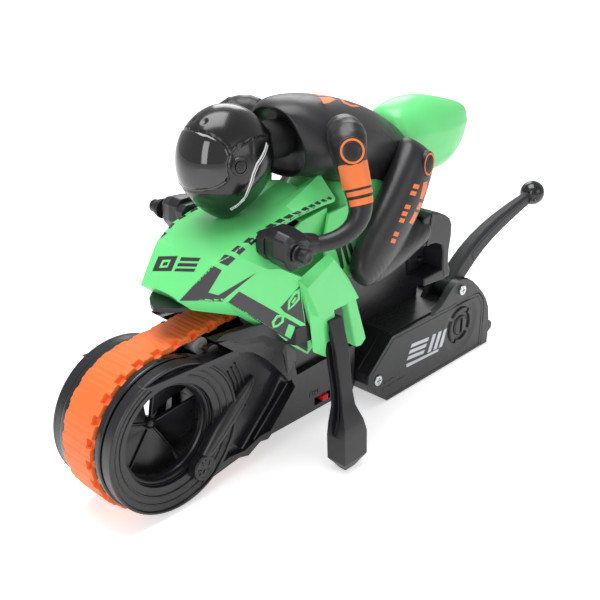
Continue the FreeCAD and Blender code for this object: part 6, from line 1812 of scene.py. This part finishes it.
# ------------------------------------------------------------------ outlines of the printed shapes, mm
GFX = {
    "dash00": [(-27.65, 19.68, 73.6), (-32.27, 18.98, 75.51), (-35.04, 22.8, 73.86), (-31.41, 21.64, 71.31)],
    "dash01": [(-34.9, 20.2, 76.7), (-38.21, 20.62, 78.33), (-40.31, 23.47, 76.75), (-37.01, 23.1, 74.99)],
    "dash02": [(-41.11, 21.08, 79.06), (-45.07, 20.57, 80.31), (-46.87, 23.31, 78.77), (-43.51, 23.73, 77.69)],
    "dash03": [(-48.04, 21.03, 81.05), (-52.33, 20.63, 81.95), (-53.83, 23.35, 80.81), (-50.64, 23.35, 79.75)],
    "dash04": [(-54.35, 20.48, 82.31), (-58.38, 20.23, 82.93), (-59.97, 23.37, 81.93), (-56.46, 23.36, 81.06)],
    "dash05": [(-60.01, 20.61, 83.18), (-63.78, 20.4, 83.75), (-65.08, 23.38, 82.92), (-62.22, 23.34, 82.06)],
    "dash06": [(-65.45, 21.13, 83.87), (-69.37, 20.66, 84.44), (-70.76, 23.39, 83.66), (-67.6, 23.31, 82.77)],
    "dash07": [(-70.87, 21.4, 84.61), (-73.84, 21.4, 85.18), (-75.95, 23.39, 84.19), (-73.37, 23.27, 83.35)],
    "dash08": [(-75.83, 21.8, 85.3), (-78.79, 21.48, 85.75), (-80.68, 23.42, 84.87), (-78.04, 23.32, 84.03)],
    "dash09": [(-80.29, 21.88, 85.92), (-82.64, 22.06, 86.5), (-84.76, 23.44, 85.36), (-82.61, 23.33, 84.61)],
    "dash10": [(-84.29, 22.25, 86.52), (-86.39, 21.93, 86.91), (-87.91, 23.4, 86.07), (-86.34, 23.41, 85.35)],
    "dash11": [(-88.51, 22.37, 86.8), (-90.15, 22.3, 87.43), (-91.87, 23.42, 86.26), (-90.87, 23.38, 85.52)],
    "dash12": [(-92.27, 22.58, 87.16), (-93.87, 22.28, 87.46), (-95.69, 23.05, 86.62), (-94.54, 23.41, 86.0)],
    "hook": [(-11.69, 12.92, 58.98), (-25.46, 18.67, 72.23), (-29.01, 20.66, 69.79), (-23.13, 18.18, 60.66), (-27.06, 20.0, 58.74), (-42.84, 26.74, 66.05), (-29.08, 20.2, 55.21)],
    "num_a": [(-16.93, -11.43, 64.04), (-22.1, -13.05, 69.0), (-24.69, -2.9, 71.12), (-19.49, -1.27, 66.12)],
    "num_a_h": [(-18.74, -8.94, 65.65), (-21.61, -9.7, 68.44), (-22.84, -5.19, 69.45), (-20.0, -4.46, 66.73)],
    "num_a_b": [(-19.85, -7.87, 66.7), (-21.07, -8.11, 67.87), (-21.7, -5.78, 68.39), (-20.51, -5.68, 67.26)],
    "num_b1": [(-24.83, -0.69, 71.17), (-26.65, 10.01, 73.16), (-25.41, 10.17, 72.01), (-23.56, -0.19, 69.95)],
    "num_b2": [(-22.77, -0.12, 69.2), (-24.62, 10.44, 71.26), (-23.54, 10.72, 70.25), (-21.59, 0.07, 68.09)],
    "num_b3": [(-20.81, 0.23, 67.36), (-22.79, 10.96, 69.55), (-21.75, 11.2, 68.59), (-19.77, 0.18, 66.37)],
    "stripe": [(-35.9, 23.45, 58.77), (-52.09, 27.59, 45.66), (-70.39, 30.96, 30.92), (-74.44, 27.55, 16.77), (-51.47, 24.14, 36.62), (-31.22, 21.34, 54.65)],
    "tri": [(-64.08, 32.25, 55.13), (-68.63, 31.34, 34.81), (-57.24, 29.24, 43.94), (-55.1, 29.15, 46.73)],
    "st_a": [(-52.53, 26.07, 39.42), (-54.11, 27.66, 42.82), (-57.77, 29.09, 42.65), (-58.26, 27.98, 38.07), (-55.88, 26.39, 35.83), (-53.73, 25.59, 36.0)],
    "st_a_h": [(-53.89, 26.45, 38.84), (-54.85, 27.49, 41.14), (-56.77, 28.32, 41.37), (-56.99, 27.68, 38.79), (-55.45, 26.64, 37.29), (-54.35, 26.17, 37.21)],
    "st_b": [(-60.27, 26.53, 30.11), (-60.84, 28.57, 36.36), (-63.9, 29.31, 34.45), (-65.23, 28.22, 29.07), (-63.61, 27.01, 27.34)],
    "tr_a": [(-58.86, 29.96, 44.08), (-58.65, 30.4, 48.97), (-61.23, 31.37, 52.78), (-64.35, 32.19, 53.84), (-64.8, 31.76, 48.3), (-62.1, 30.89, 45.73)],
    "tr_a_h": [(-59.87, 30.34, 45.38), (-59.82, 30.6, 48.2), (-61.84, 31.34, 51.08), (-63.39, 31.76, 51.77), (-63.61, 31.56, 49.08), (-61.53, 30.86, 46.81)],
    "tr_b": [(-60.32, 30.69, 47.91), (-62.23, 31.35, 50.21), (-63.09, 31.48, 49.52), (-61.35, 30.84, 47.02)],
    "spike": [(-70.78, 33.03, 59.96), (-78.72, 31.84, 62.61), (-81.13, 33.43, 62.5), (-77.08, 32.87, 61.42)],
    "box_l0": [(-158.32, 28.0, -9.44), (-176.24, 28.0, -10.99), (-174.92, 28.0, -13.02), (-157.04, 28.0, -11.42)],
    "box_l1": [(-156.79, 28.0, -12.79), (-174.29, 28.0, -14.29), (-172.98, 28.0, -16.31), (-155.51, 28.0, -14.77)],
    "box_l2": [(-155.26, 28.0, -16.15), (-172.34, 28.0, -17.59), (-171.03, 28.0, -19.61), (-153.98, 28.0, -18.13)],
    "box_b0": [(-175.3, 28.0, -20.71), (-180.03, 28.0, -10.85), (-183.52, 28.0, -11.09), (-178.76, 28.0, -20.86)],
    "box_b1": [(-181.49, 28.0, -21.11), (-186.25, 28.0, -11.17), (-189.8, 28.0, -11.41), (-185.01, 28.0, -21.26)],
    "box_b2": [(-187.4, 28.0, -21.63), (-192.19, 28.0, -11.61), (-196.11, 27.8, -12.03), (-190.98, 28.0, -21.79)],
    "box_u": [(-153.44, 28.0, -20.39), (-187.46, 28.0, -22.17), (-187.23, 28.0, -23.62), (-154.32, 28.0, -22.47)],
    "leg0": [(-118.51, 40.2, 63.17), (-119.88, 40.09, 64.9), (-123.24, 40.2, 63.43), (-121.94, 40.25, 61.64)],
    "leg1": [(-120.68, 40.01, 65.98), (-122.08, 39.89, 67.71), (-125.48, 40.07, 66.26), (-124.12, 40.16, 64.5)],
    "leg3": [(-125.23, 39.49, 71.53), (-126.72, 39.3, 73.24), (-130.29, 39.58, 71.81), (-128.79, 39.76, 70.1)],
    "leg4": [(-127.61, 39.16, 74.28), (-129.17, 38.92, 75.96), (-132.8, 39.26, 74.56), (-131.28, 39.46, 72.85)],
    "leg5": [(-130.07, 38.77, 77.01), (-131.67, 38.51, 78.68), (-135.42, 38.87, 77.28), (-133.82, 39.12, 75.59)],
    "leg7": [(-135.16, 37.89, 82.44), (-136.79, 37.61, 84.12), (-140.79, 38.01, 82.71), (-139.15, 38.29, 81.02)],
    "leg8": [(-137.74, 37.42, 85.16), (-139.39, 37.14, 86.85), (-143.58, 37.52, 85.41), (-141.87, 37.84, 83.73)],
    "leg_x": [(-147.12, 37.19, 85.88), (-151.1, 36.47, 85.48), (-150.9, 36.41, 81.54), (-146.71, 37.35, 77.25), (-143.22, 38.13, 78.84)],
    "leg_y": [(-143.03, 38.15, 77.05), (-148.07, 36.51, 74.9), (-144.61, 37.3, 72.18), (-140.09, 38.59, 74.17)],
    "leg_z": [(-138.98, 38.75, 73.25), (-143.39, 37.53, 71.29), (-138.15, 38.33, 66.78), (-133.61, 39.43, 69.01)],
    "back_a": [(-103.46, 0.89, 130.21), (-118.2, 3.76, 126.77), (-113.41, 3.28, 128.03), (-105.6, 5.61, 129.35)],
    "back_b": [(-103.41, 7.6, 129.32), (-113.12, 4.82, 127.9), (-114.45, 8.09, 126.89), (-104.22, 12.93, 127.46), (-99.79, 13.57, 127.91)],
    "back_c": [(-122.77, 1.5, 125.67), (-127.71, 11.41, 121.85), (-119.28, 13.51, 123.63), (-115.89, 11.34, 125.49)],
    "back_c_h": [(-121.44, 5.76, 125.54), (-129.63, 6.01, 122.87), (-125.62, 10.6, 122.89), (-121.44, 11.41, 123.9), (-119.69, 9.33, 125.15)],
}
# ------------------------------------------------------------------ printed graphics
def lay(name, keys, target, mat, mirror=False, holes=None, **kw):
    bvh = bvh_mm([bpy.data.objects[target]])
    items = []
    for k in keys:
        if k not in GFX:
            continue
        h = (holes or {}).get(k)
        items.append((GFX[k], [GFX[h]] if h and h in GFX else []))
    return graphics(name, items, bvh, M[mat], mirror=mirror, **kw)


front = max(p[0] for k in GFX if k.startswith("box_") for p in GFX[k])
for k in list(GFX):
    if k.startswith("box_"):
        GFX[k] = [(front + (x - front) * 0.9, y, z) for x, y, z in GFX[k]]
lay("box_bars", ["box_l0", "box_l1", "box_l2", "box_b0", "box_b1", "box_b2", "box_u"], "battery_cover_detailed", "silver_print", lift=0.0, thick=0.10, d=(0, -1, 0))
DIRT = (0.12, -0.62, -0.78)      # pressed down and across onto the upper panel
lay("fairing_dashes", ["dash%02d" % i for i in range(13)], "fairing_shell", "black_print", mirror=True, lift=0.02, thick=0.07, cell=0.8)
lay("fairing_cheek_marks", ["hook"], "fairing_shell", "black_print", mirror=True, lift=0.02, thick=0.07, d=(-0.5, -0.45, -0.74))
lay("nose_number_bars", ["num_a", "num_a_b", "num_b1", "num_b2", "num_b3"], "fairing_shell", "black_print", holes={"num_a": "num_a_h"}, lift=0.02, thick=0.07, d=(-0.6, 0, -0.8))
lay("flank_stripe", ["stripe", "tri"], "fairing_shell", "black_print", mirror=True, lift=0.02, thick=0.07, d=(-0.25, -0.95, -0.15))
lay("flank_bars", ["st_a", "st_b", "tr_a", "tr_b"], "fairing_shell", "green", mirror=True, holes={"st_a": "st_a_h", "tr_a": "tr_a_h"}, lift=0.10, thick=0.07, d=(-0.25, -0.95, -0.15))
if "spike" in GFX:
    lay("flank_spike", ["spike"], "fairing_shell", "black_print", mirror=True, lift=0.02, thick=0.07, d=(-0.3, -0.95, -0.1))
lay("thigh_bars", ["leg%d" % i for i in range(9)] + ["leg_x", "leg_y", "leg_z"], "rider_leg_left_suit", "orange_paint", mirror=True, lift=0.0, thick=0.10, d=(-0.1, -0.98, -0.15), cell=0.7)
lay("back_marks", ["back_a", "back_b", "back_c"], "rider_torso_suit", "orange_paint", holes={"back_c": "back_c_h"}, lift=0.0, thick=0.10, d=(-0.2, -0.35, -0.9), cell=0.8)


def skin(src, planes, off=0.02, thick=0.12, name="skin"):
    """a thin coloured skin over the part of a surface that lies behind every plane (point, outward normal)"""
    ob = src.copy()
    ob.data = src.data.copy()
    ob.name = name
    COL.objects.link(ob)

    def cut(bm):
        for p, n in planes:
            bmesh.ops.bisect_plane(bm, geom=bm.verts[:] + bm.edges[:] + bm.faces[:], dist=1e-7, plane_co=W(p), plane_no=Vector(n).normalized(), clear_outer=True, clear_inner=False)
        bm.normal_update()
        nr = {v: v.normal.copy() for v in bm.verts}
        for v in bm.verts:
            v.co += nr[v] * (off + thick) / 1000
    edit(ob, cut)
    mod(ob, "SOLIDIFY", thickness=(thick + 0.1) / 1000, offset=-1)
    bake(ob)
    smooth_by(ob, 45)
    return ob


AX = Vector((0.03, 0.33, -0.94)).normalized()      # down the upper arm
LEFT = Vector((-0.6872, 0.7265, 0.0))
CAMV = Vector((0.6638, 0.6279, 0.4064))


def arm_at(z):
    for a, b in zip(ARM, ARM[1:]):
        if a[2] >= z >= b[2] and a[2] > b[2]:
            return Vector(a).lerp(Vector(b), (a[2] - z) / (a[2] - b[2]))


def sleeve(z0, z1, name):
    p0, p1 = arm_at(z0), arm_at(z1)
    mid = (p0 + p1) / 2
    side = LEFT.cross(AX).cross(AX)
    ln = (LEFT - AX * LEFT.dot(AX)).normalized()
    bk = (CAMV - AX * CAMV.dot(AX)).normalized()
    r = float(np.interp(mid.z, [90, 95, 101, 107], [5.0, 5.4, 6.2, 6.6]))
    planes = [(p0, -AX), (p1, AX), (mid - ln * (r - 0.3), -ln), (mid - bk * (r * 0.55), -bk)]
    return skin(bpy.data.objects["rider_arm_left_suit"], planes, name=name)


segs = [sleeve(108.6, 98.6, "sleeve"), sleeve(97.6, 95.6, "sleeve"), sleeve(94.3, 91.6, "sleeve")]
ob = both_sides(join(segs, "s"), "suit_sleeve_bands")
smooth_by(ob, 45)
put(ob, "chassis", M["orange_paint"])
# ------------------------------------------------------------------ helmet set to size
def fit_helmet(names, k, move):
    vs = [v.co.copy() for v in bpy.data.objects["helmet_shell_gloss"].data.vertices]
    c = Vector([(min(v[i] for v in vs) + max(v[i] for v in vs)) / 2 for i in range(3)])
    for n in names:
        def grow(bm):
            for v in bm.verts:
                v.co = c + (v.co - c) * k + Vector(move) / 1000
        edit(bpy.data.objects[n], grow)


fit_helmet(["helmet_shell_gloss", "helmet_visor_lens", "visor_lip", "visor_pivot_discs", "visor_side_slots", "helmet_stripes"], 0.91, (-1.2, 0, -3.6))
# ------------------------------------------------------------------ pieces whose CAD shape stays
KEEP = {
    "belly_pan": "frame", "idler_pin": "steel", "drive_motor": "can", "motor_cradle": "frame", "roller_pin": "steel", "circuit_board": "board",
    "switch_case": "frame", "battery_cells": "cell", "battery_contacts": "brass", "steering_motor": "can", "body_bridge": "frame",
    "drive_sprocket": "gear", "drive_shaft": "steel", "drive_gear": "gear", "idler_gear": "gear", "motor_pinion": "steel", "motor_shaft": "steel",
    "guide_roller": "gear", "steering_yoke": "gear", "rear_axle": "steel", "steering_pinion": "gear", "steering_motor_shaft": "steel",
    "rear_rim": "frame", "rear_tyre": "tyre", "case_screws": "steel", "lever_pivot_screw": "steel",
    "chassis_left": "plate", "chassis_right": "plate", "rear_box": "frame", "battery_cover": "frame", "stunt_lever": "lever", "lever_ball": "ball",
    "outrigger_left": "frame", "outrigger_right": "frame", "handlebar": "frame", "bar_ends": "glove", "main_fairing": "green", "nose_plate": "frame",
    "side_wing_left": "green", "side_wing_right": "green", "tank_cover": "green", "tail_cowl": "green", "rider_torso": "suit",
    "helmet_shell": "helmet", "helmet_visor": "visor", "visor_pivots": "helmet", "rider_arm_left": "suit", "rider_arm_right": "suit",
    "rider_gloves": "glove", "rider_leg_left": "suit", "rider_leg_right": "suit", "rider_boots": "glove", "power_switch": "red",
}
done = set()
for o in list(bpy.data.objects):
    done |= set(o.get("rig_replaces", []))
for node, mk in KEEP.items():
    if node not in done:
        refine(node, M[mk], 0.22, 2, 25)
# ------------------------------------------------------------------ camera, floor and light
cam = bpy.data.cameras.new("camera")
cam.lens, cam.sensor_width, cam.sensor_fit = 54, 36, "HORIZONTAL"
cam.clip_start, cam.clip_end = 0.01, 20
co = bpy.data.objects.new("camera", cam)
COL.objects.link(co)
co.matrix_world = Matrix(((-0.6872, -0.2952, 0.6638, 0.33365), (0.7265, -0.2793, 0.6279, 0.2853), (0.0, 0.9137, 0.4064, 0.2495), (0, 0, 0, 1)))
bpy.context.scene.camera = co

FLOOR_GLOW, DOME = 0.52, 0.45
fl = bpy.data.meshes.new("floor")
fl.from_pydata([(-6, -6, 0), (6, -6, 0), (6, 6, 0), (-6, 6, 0)], [], [(0, 1, 2, 3)])
floor = bpy.data.objects.new("floor", fl)
COL.objects.link(floor)
fm, fnt, fb = tree("pale_floor")
fb.inputs["Base Color"].default_value = (0.90, 0.90, 0.905, 1)
fb.inputs["Roughness"].default_value = 0.9
fb.inputs["Specular IOR Level"].default_value = 0.05
fb.inputs["Emission Color"].default_value = (1, 1, 1, 1)
# the sheet glows a little more far out, where the lamps do not reach, and lights the object from below only softly
geo, ln = fnt.nodes.new("ShaderNodeNewGeometry"), fnt.nodes.new("ShaderNodeVectorMath")
ln.operation = "LENGTH"
fnt.links.new(geo.outputs["Position"], ln.inputs[0])
mr = fnt.nodes.new("ShaderNodeMapRange")
mr.inputs["From Min"].default_value, mr.inputs["From Max"].default_value = 0.4, 1.6
mr.inputs["To Min"].default_value, mr.inputs["To Max"].default_value = FLOOR_GLOW, 1.05
fnt.links.new(ln.outputs["Value"], mr.inputs["Value"])
flp, mxf = fnt.nodes.new("ShaderNodeLightPath"), fnt.nodes.new("ShaderNodeMix")
mxf.data_type = "FLOAT"
fnt.links.new(flp.outputs["Is Camera Ray"], mxf.inputs[0])
mxf.inputs[2].default_value = 0.30
fnt.links.new(mr.outputs["Result"], mxf.inputs[3])
fnt.links.new(mxf.outputs[0], fb.inputs["Emission Strength"])
fl.materials.append(fm)

world = bpy.data.worlds.new("studio")
bpy.context.scene.world = world
world.use_nodes = True
wn = world.node_tree
wn.nodes.clear()
wo = wn.nodes.new("ShaderNodeOutputWorld")
bg1, bg2 = wn.nodes.new("ShaderNodeBackground"), wn.nodes.new("ShaderNodeBackground")
bg1.inputs["Color"].default_value, bg1.inputs["Strength"].default_value = (1, 1, 1, 1), DOME
bg2.inputs["Color"].default_value, bg2.inputs["Strength"].default_value = (1, 1, 1, 1), 1.0
lp, mxs = wn.nodes.new("ShaderNodeLightPath"), wn.nodes.new("ShaderNodeMixShader")
wn.links.new(lp.outputs["Is Camera Ray"], mxs.inputs[0])
wn.links.new(bg1.outputs[0], mxs.inputs[1])
wn.links.new(bg2.outputs[0], mxs.inputs[2])
wn.links.new(mxs.outputs[0], wo.inputs[0])


def area(name, loc, target, size, power, size_y=None):
    l = bpy.data.lights.new(name, "AREA")
    l.shape = "RECTANGLE"
    l.size, l.size_y = size, size_y or size
    l.energy = power
    o = bpy.data.objects.new(name, l)
    COL.objects.link(o)
    o.location = loc
    o.rotation_euler = (Vector(target) - Vector(loc)).to_track_quat("-Z", "Y").to_euler()
    return o


area("key_top", (0.10, -0.10, 1.0), (0, 0, 0.05), 0.7, 8.5, 0.7)
area("left_strip", (0.80, 0.30, 0.42), (0.0, 0.0, 0.08), 0.22, 1.5, 0.6)
area("right_fill", (-0.15, 0.85, 0.40), (0.0, 0.0, 0.08), 0.6, 1.0, 0.35)
area("rim_back", (-0.55, -0.55, 0.60), (0.0, 0.0, 0.1), 0.45, 2.2, 0.45)
bpy.context.scene.view_settings.view_transform = "Standard"
